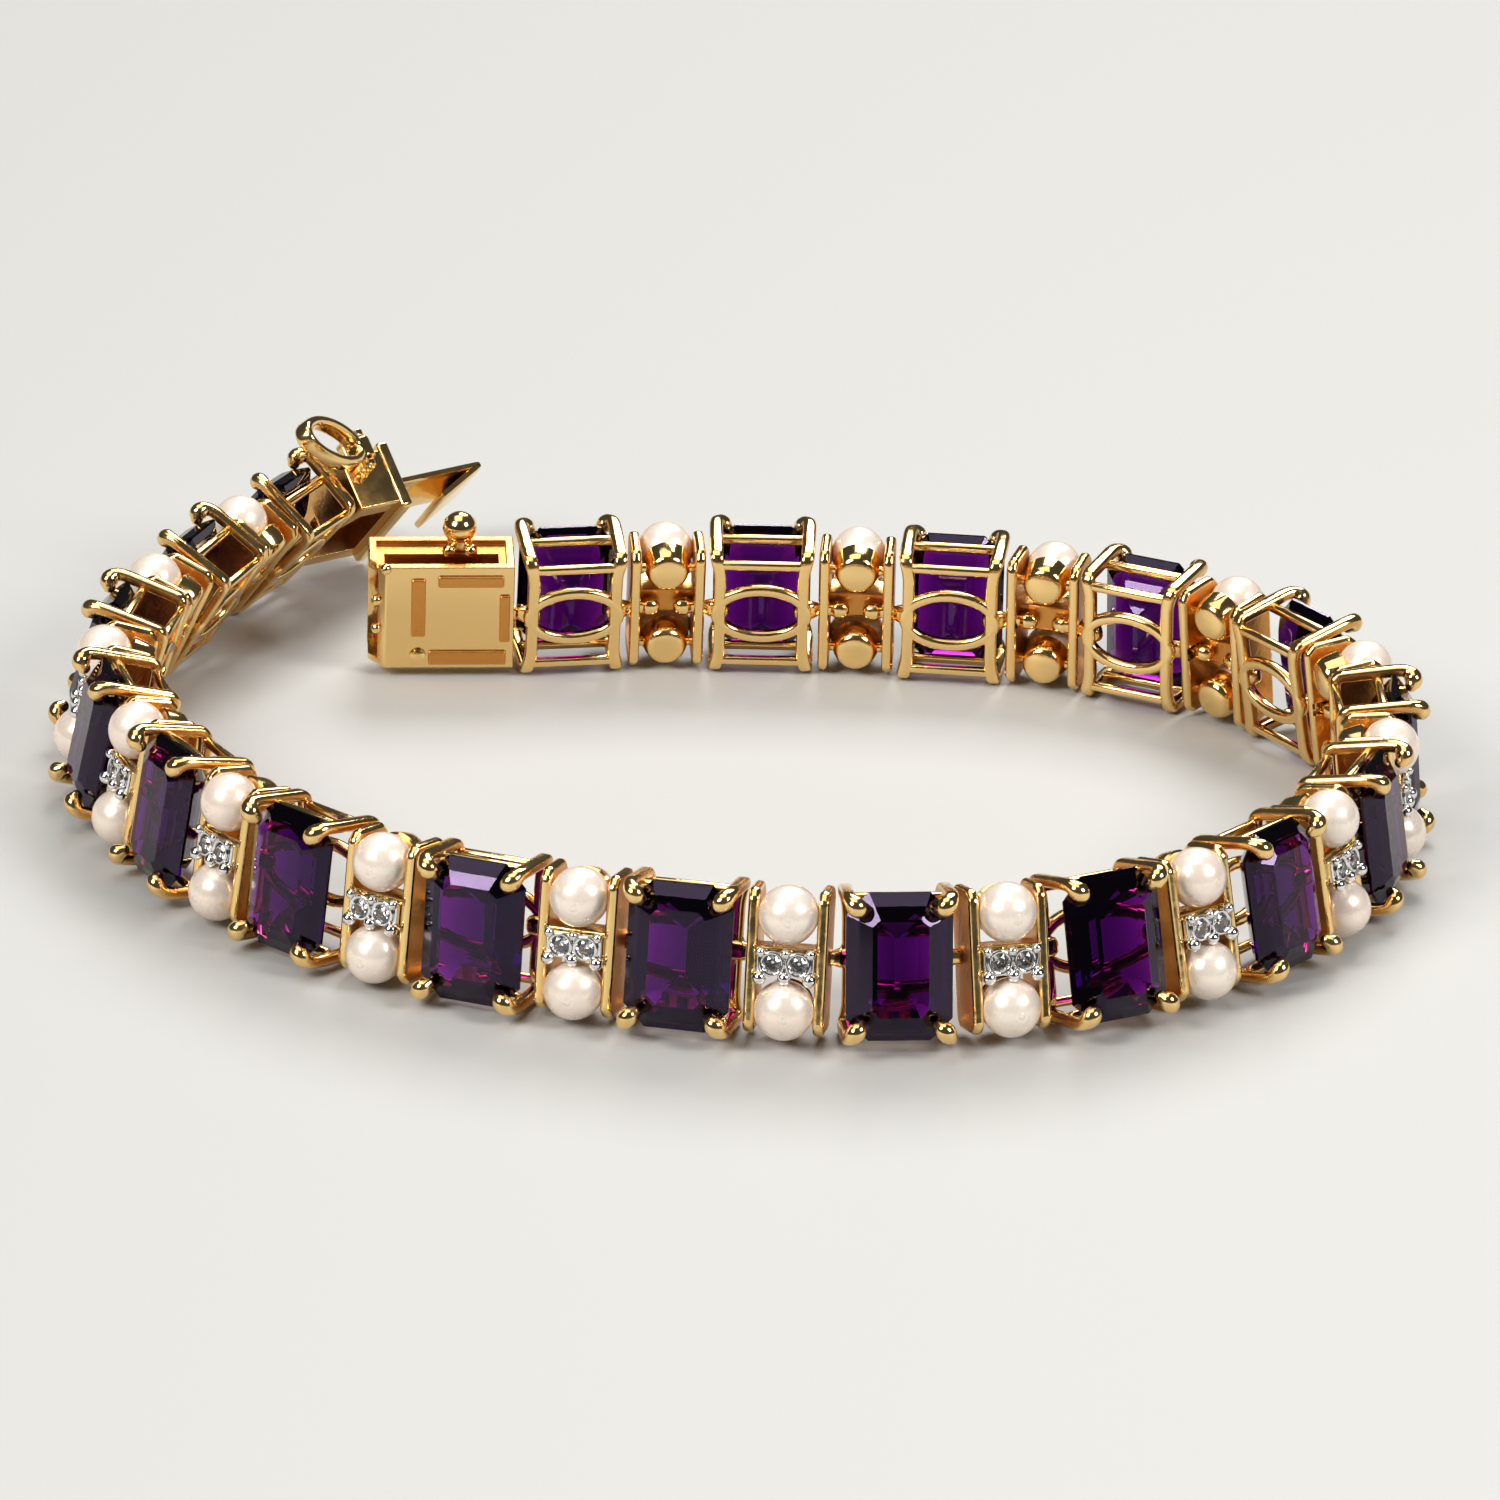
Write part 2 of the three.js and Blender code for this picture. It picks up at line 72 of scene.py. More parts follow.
# %% [markdown]
# ## Units and link frames
#
# A jeweller measures in millimetres and Blender's frame is in metres, so each
# master shape below is drawn in millimetres in its own link's frame: x runs along
# the bracelet, y points out from the wrist (0 at the link's back), and z runs up
# the link (0 at mid-height). One number turns millimetres into metres.

# %% Units
MM = 0.001
UP = Vector((0, 0, 1))
LOOP_MIDDLE = (cad_low + cad_high) / 2

# %% [markdown]
# ## Where each link sits
#
# A link's frame could be typed in by hand, but the CAD solid already holds it. A
# link is symmetric along and up, so the ways in which its surface spreads are
# exactly its own axes: it is tallest up the link, narrower along the bracelet and
# thinnest outwards. The eigenvectors of the spread give those three axes in that
# order, and only their signs are left to choose: up is up, and out is away from
# the middle of the loop.


# %% Measure a link's frame
def corner_points(node):
    """Every triangle of a CAD node, as an array of corners."""
    mesh = nodes[node].data
    mesh.calc_loop_triangles()
    points = np.array([vertex.co for vertex in mesh.vertices])
    return points[np.array([triangle.vertices for triangle in mesh.loop_triangles])]


def surface_spread(node):
    """The middle of a solid's surface, and its axes from the thinnest to the tallest."""
    corners = corner_points(node)
    areas = np.linalg.norm(
        np.cross(corners[:, 1] - corners[:, 0], corners[:, 2] - corners[:, 0]), axis=1
    )
    middles = corners.mean(axis=1)
    middle = (areas[:, None] * middles).sum(axis=0) / areas.sum()
    corners = corners - middle
    middles = middles - middle
    spread = np.einsum("t,tki,tkj->ij", areas, corners, corners)
    spread += 9 * np.einsum("t,ti,tj->ij", areas, middles, middles)
    return Vector(middle), [Vector(axis) for axis in np.linalg.eigh(spread)[1].T]


def frame_matrix(origin, outward):
    """Takes millimetres in a link's frame to metres in the bracelet's.

    A link leans about its own length, so the way along it stays level.
    """
    along = outward.cross(UP).normalized()
    turn = Matrix((along, outward, along.cross(outward))).transposed().to_4x4()
    return Matrix.Translation(origin) @ turn @ Matrix.Scale(MM, 4)


def extent(node, direction):
    """The lowest and highest reach of a CAD node along a direction, in metres."""
    reach = corner_points(node).reshape(-1, 3) @ np.array(direction)
    return reach.min(), reach.max()


def link_matrix(shape_node, back_node):
    """The frame of a link: its axes from one solid, and its back from another."""
    middle, (outward, along, up) = surface_spread(shape_node)
    if outward.dot((middle - LOOP_MIDDLE) * Vector((1, 1, 0))) < 0:
        outward = -outward
    outward.normalize()
    back = extent(back_node, outward)[0]
    return frame_matrix(middle + outward * (back - middle.dot(outward)), outward)


# %% Measure every link
amethyst_numbers = sorted(name[-2:] for name in nodes if name.startswith("amethyst_setting"))
pearl_numbers = sorted(name[-2:] for name in nodes if name.startswith("pearl_link"))
amethyst_frames = [link_matrix(f"amethyst_{n}", f"amethyst_setting_{n}") for n in amethyst_numbers]
pearl_frames = [link_matrix(f"pearl_link_{n}", f"pearl_link_{n}") for n in pearl_numbers]
print(f"{len(amethyst_frames)} amethyst links and {len(pearl_frames)} pearl links measured")

# %% [markdown]
# The clasp box and the tongue are not symmetric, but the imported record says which
# way they face: the box's mount looks straight back at the wrist, and the safety
# catch turns about a pin that points straight out.

# %% Frames of the clasp's two halves
BOX_HALF_HEIGHT = 3.05
BOX_HINGE_GAP = 0.15
PIN = Vector((2.3, 3.2, 3.95))

mount = frame["record"]["mounts"][0]
box_outward = -Vector(mount["axis"])
box_along = box_outward.cross(UP).normalized()
box_up = box_along.cross(box_outward)
box_hinge = (
    box_along * (extent("clasp_box", box_along)[1] + BOX_HINGE_GAP * MM)
    + box_outward * extent("clasp_box", box_outward)[0]
    + box_up * (extent("clasp_box", box_up)[0] + BOX_HALF_HEIGHT * MM)
)
box_frame = frame_matrix(box_hinge, box_outward)

catch_joint = frame["joints"][0]
tongue_outward = Vector(catch_joint["axis"])
tongue_frame = frame_matrix(Vector((0, 0, 0)), tongue_outward)
tongue_frame.translation = Vector(catch_joint["pos_m"]) - tongue_frame.to_3x3() @ PIN
print("clasp box hinge at", box_hinge * 1000)
print("tongue hinge at", tongue_frame.translation * 1000)

# %% [markdown]
# ## Camera, floor and light
#
# A bracelet this small is shot from half a metre away with a long lens, which
# keeps the near and far links almost the same size. The camera looks down at
# about 22 degrees and is turned a little about its own axis, as a camera held in
# the hand is. A pale sweep of paper lies under the bracelet. Polished metal shows
# only what stands around it, so two large soft boxes stand at the front corners,
# one hangs behind and one above, and the world between them stays dimmer for
# contrast.

# %% Camera
VIEW_ELEVATION = math.radians(22.05)
VIEW_TURN = math.radians(1.3)
VIEW_DISTANCE = 0.4646
LENS = 225.7
LOOK_AT = Vector((0.68, -2.37, 3.0)) * MM

scene = bpy.context.scene


def placed(name, data):
    """Links new data to the scene under a name."""
    thing = bpy.data.objects.new(name, data)
    scene.collection.objects.link(thing)
    return thing


view_back = Vector((0, -math.cos(VIEW_ELEVATION), math.sin(VIEW_ELEVATION)))
camera = placed("camera", bpy.data.cameras.new("camera"))
camera.data.lens = LENS
camera.data.clip_start = 0.01
camera.location = LOOK_AT + view_back * VIEW_DISTANCE
camera.rotation_euler = (
    view_back.to_track_quat("Z", "Y") @ Quaternion((0, 0, 1), VIEW_TURN)
).to_euler()
scene.camera = camera
print("camera stands at", camera.location * 1000)

# %% Soft boxes and world
# Each light: name, where it stands in metres, its side, its power and its tint.
LIGHTS = (
    ("left_softbox", (-0.38, -0.34, 0.42), 0.26, 5.5, (1.0, 0.97, 0.93)),
    ("right_softbox", (0.42, -0.26, 0.36), 0.20, 3.8, (1.0, 0.98, 0.96)),
    ("back_softbox", (0.10, 0.42, 0.45), 0.32, 5.0, (1.0, 0.98, 0.95)),
    ("top_softbox", (-0.10, 0.0, 0.60), 0.50, 2.0, (1.0, 0.99, 0.97)),
)
WORLD_GREY = 0.10
EXPOSURE = -0.7

for name, stand, side, power, tint in LIGHTS:
    softbox = placed(name, bpy.data.lights.new(name, "AREA"))
    softbox.data.size = side
    softbox.data.energy = power
    softbox.data.color = tint
    softbox.location = stand
    softbox.rotation_euler = Vector(stand).to_track_quat("Z", "Y").to_euler()

world = bpy.data.worlds.new("studio")
world.use_nodes = True
world.node_tree.nodes["Background"].inputs["Color"].default_value = (WORLD_GREY,) * 3 + (1,)
scene.world = world
scene.view_settings.view_transform = "Standard"
scene.view_settings.exposure = EXPOSURE

# %% [markdown]
# ## A short way to write node trees
#
# Materials and Geometry Nodes are both trees of nodes. Written out with the plain
# API, each node takes four or five lines, so one helper adds a node, sets its
# options and fills its sockets: a value is set on the socket, and another node's
# output is linked to it.


# %% Node helpers
def add(tree, kind, sockets=None, **options):
    """Adds a node. sockets maps a socket's name or number to a value or to an output socket."""
    node = tree.nodes.new(kind)
    for option, value in options.items():
        setattr(node, option, value)
    for socket, value in (sockets or {}).items():
        if isinstance(value, bpy.types.NodeSocket):
            tree.links.new(value, node.inputs[socket])
        else:
            node.inputs[socket].default_value = value
    return node


def calculate(tree, operation, first, second=0.0):
    """One step of arithmetic as a node, and its result."""
    return add(tree, "ShaderNodeMath", {0: first, 1: second}, operation=operation).outputs[0]


def new_group(name, kind, inputs, outputs):
    """A node group with named inputs (socket type and default) and outputs."""
    tree = bpy.data.node_groups.new(name, kind)
    for label, (socket_type, default) in inputs.items():
        socket = tree.interface.new_socket(label, in_out="INPUT", socket_type=socket_type)
        if default is not None:
            socket.default_value = default
    for label, socket_type in outputs.items():
        tree.interface.new_socket(label, in_out="OUTPUT", socket_type=socket_type)
    return tree, add(tree, "NodeGroupInput").outputs, add(tree, "NodeGroupOutput").inputs


def new_material(name):
    """A material, its node tree and the sockets of its Principled BSDF."""
    material = bpy.data.materials.new(name)
    material.use_nodes = True
    return material, material.node_tree, material.node_tree.nodes["Principled BSDF"].inputs


FLOAT = "NodeSocketFloat"
INTEGER = "NodeSocketInt"
GEOMETRY = "NodeSocketGeometry"
OBJECT = "NodeSocketObject"
MATERIAL = "NodeSocketMaterial"

# %% [markdown]
# ## The paper sweep
#
# The bracelet stands on one large sheet of pale paper. It is part of the studio, not of the bracelet.

# %% Paper sweep
FLOOR_SIDE = 4.0
PAPER_COLOR = (0.46, 0.46, 0.45, 1)
PAPER_ROUGHNESS = 0.6

floor_mesh = bpy.data.meshes.new("floor")
half = FLOOR_SIDE / 2
floor_corners = [(-half, -half, 0), (half, -half, 0), (half, half, 0), (-half, half, 0)]
floor_mesh.from_pydata(floor_corners, [], [(0, 1, 2, 3)])
floor = placed("floor", floor_mesh)
paper, _, paper_shader = new_material("paper")
paper_shader["Base Color"].default_value = PAPER_COLOR
paper_shader["Roughness"].default_value = PAPER_ROUGHNESS
floor_mesh.materials.append(paper)

# %% [markdown]
# ## Fine handling marks
#
# Nothing on a worn jewel is optically perfect: polished metal keeps a faint ripple
# from the buffing wheel and hairline marks from handling, and stones and pearls
# carry a little of the same. One shader group works all of it out from the
# object's own coordinates, and each finish places it with its own strengths.

# %% Handling marks group
marks, marks_in, marks_out = new_group(
    "Handling Marks",
    "ShaderNodeTree",
    {"Ripple": (FLOAT, 1.0), "Hairlines": (FLOAT, 1.0), "Smooth": (FLOAT, 0.1), "Worn": (FLOAT, 0.3)},
    {"Height": FLOAT, "Roughness": FLOAT},
)
RIPPLES_PER_METRE = 900
HAIRLINES_PER_METRE = 2600
HAIRLINE_STRETCH = (1.0, 0.07, 0.3)
METAL_MARK_DEPTH = 0.00002
PEARL_MARK_DEPTH = 0.00003
marks_point = add(marks, "ShaderNodeTexCoord").outputs["Object"]
ripple = add(
    marks,
    "ShaderNodeTexNoise",
    {"Vector": marks_point, "Scale": RIPPLES_PER_METRE, "Detail": 2.0},
)
stretched = add(marks, "ShaderNodeMapping", {"Vector": marks_point, "Scale": HAIRLINE_STRETCH})
hair = add(
    marks,
    "ShaderNodeTexNoise",
    {"Vector": stretched.outputs[0], "Scale": HAIRLINES_PER_METRE, "Detail": 3.0},
)
hair_mask = add(
    marks, "ShaderNodeMapRange", {"Value": hair.outputs["Fac"], "From Min": 0.55, "From Max": 0.8}
)
ripple_height = calculate(marks, "MULTIPLY", ripple.outputs["Fac"], marks_in["Ripple"])
hair_height = calculate(marks, "MULTIPLY", hair_mask.outputs[0], marks_in["Hairlines"])
marks.links.new(calculate(marks, "SUBTRACT", ripple_height, hair_height), marks_out["Height"])
worn_share = add(
    marks, "ShaderNodeMapRange", {"Value": ripple.outputs["Fac"], "From Min": 0.35, "From Max": 0.75}
)
roughness = add(
    marks,
    "ShaderNodeMapRange",
    {"Value": worn_share.outputs[0], "To Min": marks_in["Smooth"], "To Max": marks_in["Worn"]},
)
marks.links.new(roughness.outputs[0], marks_out["Roughness"])


# %% Placing the marks
def handling_marks(tree, ripple, hairlines, smooth, worn):
    """Places the group in a material with its own strengths."""
    node = add(tree, "ShaderNodeGroup", node_tree=marks)
    strengths = {"Ripple": ripple, "Hairlines": hairlines, "Smooth": smooth, "Worn": worn}
    for name, value in strengths.items():
        node.inputs[name].default_value = value
    return node.outputs


def bump(tree, height, distance):
    """Turns a height from 0 to 1 into a tilt of the surface, as if it were that many metres deep."""
    return add(tree, "ShaderNodeBump", {"Height": height, "Distance": distance}).outputs["Normal"]


# %% [markdown]
# ## Gold
#
# The metal is taken to be silver plated with yellow gold. Outer edges are polished, and the flat sides between the
# links, which no wheel reaches, keep the duller, redder skin of the casting. That darker, redder colour is also
# painted shade: between the links, in the hollows behind the pearls and inside the box, and on the box's rim and
# raised bars. A named attribute, written later by the tree that sets out the links, tells the material which is
# which.

# %% Gold
# The second colour is the casting's redder skin, and it is also painted shade, darker between the links and in
# hollows.
GOLD_POLISHED = (0.94, 0.65, 0.27, 1)
GOLD_CAST_AND_SHADE = (0.66, 0.30, 0.07, 1)
GRAINS_PER_METRE = 5200
GRAIN_STRENGTH = 1.4
CAST_ROUGHNESS = 0.22

gold, gold_tree, gold_shader = new_material("gold")
cast_and_shade_share = add(gold_tree, "ShaderNodeAttribute", attribute_name="as_cast").outputs["Fac"]
# The mark mixes in the darker colour, for the cast skin and as painted shade where shade falls.
gold_color = add(
    gold_tree,
    "ShaderNodeMix",
    {"Factor": cast_and_shade_share, 6: GOLD_POLISHED, 7: GOLD_CAST_AND_SHADE},
    data_type="RGBA",
).outputs[2]
gold_marks = handling_marks(gold_tree, ripple=1.0, hairlines=0.25, smooth=0.09, worn=0.2)
gold_point = add(gold_tree, "ShaderNodeTexCoord").outputs["Object"]
grain = add(
    gold_tree,
    "ShaderNodeTexNoise",
    {"Vector": gold_point, "Scale": GRAINS_PER_METRE, "Detail": 2.0},
).outputs["Fac"]
cast_grain = calculate(gold_tree, "MULTIPLY", grain, cast_and_shade_share)
grain_height = calculate(gold_tree, "MULTIPLY", cast_grain, GRAIN_STRENGTH)
gold_height = calculate(gold_tree, "ADD", gold_marks["Height"], grain_height)
cast_roughness = calculate(gold_tree, "MULTIPLY", cast_and_shade_share, CAST_ROUGHNESS)
gold_roughness = calculate(gold_tree, "ADD", gold_marks["Roughness"], cast_roughness)
gold_tree.links.new(gold_color, gold_shader["Base Color"])
gold_tree.links.new(gold_roughness, gold_shader["Roughness"])
gold_tree.links.new(bump(gold_tree, gold_height, METAL_MARK_DEPTH), gold_shader["Normal"])
gold_shader["Metallic"].default_value = 1.0

# %% [markdown]
# ## White metal
#
# The little clusters are left white for contrast: the same polish without colour.

# %% White metal
WHITE_METAL_COLOR = (0.86, 0.85, 0.84, 1)

white_metal, white_tree, white_shader = new_material("white_metal")
white_marks = handling_marks(white_tree, ripple=1.0, hairlines=0.3, smooth=0.07, worn=0.18)
white_shader["Base Color"].default_value = WHITE_METAL_COLOR
white_shader["Metallic"].default_value = 1.0
white_tree.links.new(white_marks["Roughness"], white_shader["Roughness"])
white_normal = bump(white_tree, white_marks["Height"], METAL_MARK_DEPTH)
white_tree.links.new(white_normal, white_shader["Normal"])

# %% [markdown]
# ## Amethyst
#
# A stone this dark gets its depth from inside: light refracts in, bounces between
# the pavilion steps and loses its green on the way, and only the shortest paths
# come back violet. So it is made as real glass with quartz's index of refraction
# and a volume that absorbs, not as a purple paint.

# %% Amethyst
QUARTZ_INDEX = 1.544
ABSORPTION_PER_METRE = 2700
ABSORPTION_COLOR = (0.62, 0.0, 0.70, 1)
SURFACE_COLOR = (0.93, 0.86, 1.0, 1)
GLINT_TINT = (0.74, 0.56, 0.95, 1)

amethyst, amethyst_tree, amethyst_shader = new_material("amethyst")
amethyst_shader["Base Color"].default_value = SURFACE_COLOR
amethyst_shader["Transmission Weight"].default_value = 1.0
amethyst_shader["IOR"].default_value = QUARTZ_INDEX
amethyst_shader["Specular Tint"].default_value = GLINT_TINT
amethyst_marks = handling_marks(amethyst_tree, ripple=0.5, hairlines=0.5, smooth=0.0, worn=0.03)
amethyst_tree.links.new(amethyst_marks["Roughness"], amethyst_shader["Roughness"])
absorption = add(
    amethyst_tree,
    "ShaderNodeVolumeAbsorption",
    {"Color": ABSORPTION_COLOR, "Density": ABSORPTION_PER_METRE},
)
amethyst_tree.links.new(
    absorption.outputs["Volume"], amethyst_tree.nodes["Material Output"].inputs["Volume"]
)

# %% [markdown]
# ## Zircon
#
# The small clear stones are glass too, but with a far higher index of refraction.
# That alone throws most of the light back out of the table, so no colour is needed.

# %% Zircon
ZIRCON_INDEX = 1.92
ZIRCON_COLOR = (0.97, 0.97, 1.0, 1)

zircon, _, zircon_shader = new_material("zircon")
zircon_shader["Base Color"].default_value = ZIRCON_COLOR
zircon_shader["Roughness"].default_value = 0.0
zircon_shader["Transmission Weight"].default_value = 1.0
zircon_shader["IOR"].default_value = ZIRCON_INDEX

# %% [markdown]
# ## Pearl
#
# Nacre is a stack of thin clear layers. It scatters light softly and reflects some
# of it straight off the top coat. Light that skims the rim crosses more layers and
# comes back warmer, which the tints of the coat and of the metallic share do. No
# two pearls match, so each has a tone of its own, and each has a faint ring round
# one spot. The clouds and the ring are placed in the pearl's own coordinates, which
# the tree that sets out the pearls stores before they are turned into place.

# %% Pearl
PEARL_TONES = (
    (0.0, (0.92, 0.78, 0.70, 1)),
    (0.5, (0.95, 0.87, 0.79, 1)),
    (1.0, (0.89, 0.84, 0.78, 1)),
)
PEARL_RIM_TINT = (1.0, 0.84, 0.70, 1)
PEARL_COAT_TINT = (1.0, 0.95, 0.90, 1)

pearl, pearl_tree, pearl_shader = new_material("pearl")
pearl_point = add(pearl_tree, "ShaderNodeAttribute", attribute_name="pearl_point").outputs["Vector"]
pearl_tone = add(pearl_tree, "ShaderNodeAttribute", attribute_name="pearl_tone").outputs["Fac"]
cloud = add(
    pearl_tree,
    "ShaderNodeTexNoise",
    {"Vector": pearl_point, "W": calculate(pearl_tree, "MULTIPLY", pearl_tone, 40.0), "Scale": 0.9},
    noise_dimensions="4D",
).outputs["Fac"]
tone_share = calculate(pearl_tree, "MULTIPLY", pearl_tone, 0.6)
tone_place = calculate(pearl_tree, "ADD", tone_share, calculate(pearl_tree, "MULTIPLY", cloud, 0.4))
tone_ramp = add(pearl_tree, "ShaderNodeValToRGB", {"Fac": tone_place})
while len(tone_ramp.color_ramp.elements) < len(PEARL_TONES):
    tone_ramp.color_ramp.elements.new(0.5)
for stop, (place, color) in zip(tone_ramp.color_ramp.elements, PEARL_TONES):
    stop.position = place
    stop.color = color
pearl_tree.links.new(tone_ramp.outputs["Color"], pearl_shader["Base Color"])
pearl_shader["Specular Tint"].default_value = PEARL_RIM_TINT
pearl_shader["Coat Tint"].default_value = PEARL_COAT_TINT

# %% Pearl's ring and lustre
# The ring: low ridges round a spot low on the front of the pearl.
RING_SPOT = (-0.1, 1.35, -0.2)
RING_OUTER, RING_INNER = 0.42, 0.1
RIDGES = 22.0
ring_distance = add(
    pearl_tree, "ShaderNodeVectorMath", {0: pearl_point, 1: RING_SPOT}, operation="DISTANCE"
).outputs["Value"]
wobble = calculate(pearl_tree, "ADD", ring_distance, calculate(pearl_tree, "MULTIPLY", cloud, 0.5))
ring = calculate(pearl_tree, "SINE", calculate(pearl_tree, "MULTIPLY", wobble, RIDGES))
ring_fade = add(
    pearl_tree,
    "ShaderNodeMapRange",
    {"Value": ring_distance, "From Min": RING_OUTER, "From Max": RING_INNER},
)
ring_height = calculate(pearl_tree, "MULTIPLY", ring, ring_fade.outputs[0])
pearl_marks = handling_marks(pearl_tree, ripple=1.6, hairlines=0.2, smooth=0.24, worn=0.36)
pearl_height = calculate(
    pearl_tree, "ADD", pearl_marks["Height"], calculate(pearl_tree, "MULTIPLY", ring_height, 0.5)
)
pearl_tree.links.new(bump(pearl_tree, pearl_height, PEARL_MARK_DEPTH), pearl_shader["Normal"])
pearl_tree.links.new(pearl_marks["Roughness"], pearl_shader["Roughness"])
pearl_shader["Metallic"].default_value = 0.3
pearl_shader["Subsurface Weight"].default_value = 0.1
pearl_shader["Subsurface Radius"].default_value = (1.0, 0.7, 0.5)
pearl_shader["Subsurface Scale"].default_value = 0.0006
pearl_shader["Coat Weight"].default_value = 0.7
pearl_shader["Coat Roughness"].default_value = 0.08
print("finishes:", ", ".join(material.name for material in bpy.data.materials))

# %% [markdown]
# ## Rods: the shape of nearly everything gold
#
# Frames, arms, claws, rails, rings and loops are all rods: a rounded bar that
# follows a path, thins or fattens on the way, and ends in a round nose. So one
# function skins them all. Each row of a path gives a point and the rod's half
# width, half thickness and squareness there: 2 is round and 5 nearly square.
# Corners are rounded first, so that the bar bends instead of folding.

# %% Rod maker
SECTION_POINTS = 16
NOSE_ANGLES = (30, 55, 75)
CORNER_STEPS = 5
CREASE = math.radians(38)


def rounded_path(rows, radius, closed=False):
    """Rounds each inner corner of a path of rows by an arc of up to that radius."""
    rows = [np.array(row, dtype=float) for row in rows]
    path = [] if closed else [rows[0]]
    count = len(rows)
    for index in range(0 if closed else 1, count if closed else count - 1):
        before, corner, after = rows[index - 1], rows[index], rows[(index + 1) % count]
        back, on = before - corner, after - corner
        back_length, on_length = np.linalg.norm(back[:3]), np.linalg.norm(on[:3])
        reach = min(radius, back_length / 2, on_length / 2)
        start = corner + back * (reach / back_length)
        end = corner + on * (reach / on_length)
        for step in range(CORNER_STEPS + 1):
            t = step / CORNER_STEPS
            path.append((1 - t) ** 2 * start + 2 * t * (1 - t) * corner + t * t * end)
    return path if closed else path + [rows[-1]]


def section_ring(middle, across, through, width, thickness, squareness):
    """One closed section: a superellipse about middle."""
    points = []
    for step in range(SECTION_POINTS):
        angle = 2 * math.pi * (step + 0.5) / SECTION_POINTS
        c, s = math.cos(angle), math.sin(angle)
        x = math.copysign(abs(c) ** (2 / squareness), c) * width
        y = math.copysign(abs(s) ** (2 / squareness), s) * thickness
        points.append(middle + across * x + through * y)
    return points


# %% Rods
def rod(rows, side=(1, 0, 0), radius=0.3, closed=False):
    """A rod's points and faces. side is the direction in which its width is measured."""
    if radius:
        path = rounded_path(rows, radius, closed)
    else:
        path = [np.array(row, dtype=float) for row in rows]
    middles = [Vector(row[:3]) for row in path]
    last = len(path) - 1
    side = Vector(side)
    rings = []
    for index, row in enumerate(path):
        if closed:
            tangent = middles[(index + 1) % len(path)] - middles[index - 1]
        else:
            tangent = middles[min(index + 1, last)] - middles[max(index - 1, 0)]
        tangent.normalize()
        across = (side - tangent * side.dot(tangent)).normalized()
        through = tangent.cross(across)
        if not closed and index == 0:
            for angle in reversed(NOSE_ANGLES):
                rings.append(nose_ring(middles[0], -tangent, across, through, row, angle))
        rings.append(section_ring(middles[index], across, through, *row[3:6]))
        if not closed and index == last:
            for angle in NOSE_ANGLES:
                rings.append(nose_ring(middles[last], tangent, across, through, row, angle))
    points = [point for ring in rings for point in ring]
    faces = []
    for ring in range(len(rings) if closed else len(rings) - 1):
        for step in range(SECTION_POINTS):
            a = ring * SECTION_POINTS + step
            b = ring * SECTION_POINTS + (step + 1) % SECTION_POINTS
            c = ((ring + 1) % len(rings)) * SECTION_POINTS
            faces.append((a, b, c + (step + 1) % SECTION_POINTS, c + step))
    if not closed:
        faces.append(tuple(reversed(range(SECTION_POINTS))))
        faces.append(tuple(range(len(points) - SECTION_POINTS, len(points))))
    return points, faces


def nose_ring(middle, outward, across, through, row, angle):
    """One ring of a rod's round nose, at an angle from its edge to its tip."""
    width, thickness, squareness = row[3:6]
    shrink = math.cos(math.radians(angle))
    reach = min(width, thickness) * math.sin(math.radians(angle))
    nose = middle + outward * reach
    return section_ring(nose, across, through, width * shrink, thickness * shrink, squareness)


# %% From shells to meshes
def mesh_from(name, shells):
    """One mesh of several closed shells of points and faces, all facing outwards."""
    shape = bmesh.new()
    for points, faces in shells:
        made = [shape.verts.new(Vector(point)) for point in points]
        for face in faces:
            shape.faces.new([made[index] for index in face])
    bmesh.ops.recalc_face_normals(shape, faces=shape.faces)
    mesh = bpy.data.meshes.new(name)
    shape.to_mesh(mesh)
    shape.free()
    return mesh


def smoothed(mesh):
    """Shades a mesh smooth, apart from its creases."""
    mesh.shade_smooth()
    mesh.set_sharp_from_angle(angle=CREASE)
    return mesh


def mirrored(shell):
    """A shell's mirror image on the other side of the link, where x is the other way."""
    points, faces = shell
    return [Vector(point) * Vector((-1, 1, 1)) for point in points], faces


# %% [markdown]
# ## Growing pieces with Geometry Nodes
#
# Repeated pieces are grown by a node tree from a start mesh. Here the start is a
# set of stations: one point for each place, with the turn of its link kept in a
# named attribute. The helper runs the tree once, keeps the plain mesh that comes
# out, and throws the host away, so nothing live is left on the finished piece.


# %% Stations
def stations(name, matrices):
    """A mesh with a point at each matrix and its rotation in the attribute "turn"."""
    mesh = bpy.data.meshes.new(name)
    mesh.from_pydata([matrix.translation for matrix in matrices], [], [])
    turn = mesh.attributes.new("turn", "QUATERNION", "POINT")
    for slot, matrix in zip(turn.data, matrices):
        slot.value = matrix.to_quaternion()
    return mesh


# %% Growing
def grow(name, tree, start, values):
    """Runs a Geometry Nodes tree on a start mesh and returns the plain mesh it makes."""
    host = placed(name + "_host", start)
    modifier = host.modifiers.new("grow", "NODES")
    modifier.node_group = tree
    sockets = {
        item.name: item.identifier
        for item in tree.interface.items_tree
        if item.item_type == "SOCKET" and item.in_out == "INPUT"
    }
    for label, value in values.items():
        modifier[sockets[label]] = value
    depsgraph = bpy.context.evaluated_depsgraph_get()
    mesh = bpy.data.meshes.new_from_object(
        host.evaluated_get(depsgraph), preserve_all_data_layers=True, depsgraph=depsgraph
    )
    bpy.data.objects.remove(host)
    mesh.name = name
    return mesh


def at(matrices, points):
    """Stations at points (in millimetres) of every link's frame."""
    return [matrix @ Matrix.Translation(Vector(point)) for matrix in matrices for point in points]


# %% [markdown]
# Three trees set pieces out on stations, so two helpers hold what they share. The
# first puts a copy at each station, turns it, scales it from millimetres to metres
# and makes the copies real. The second gives them their finish and ends the tree.


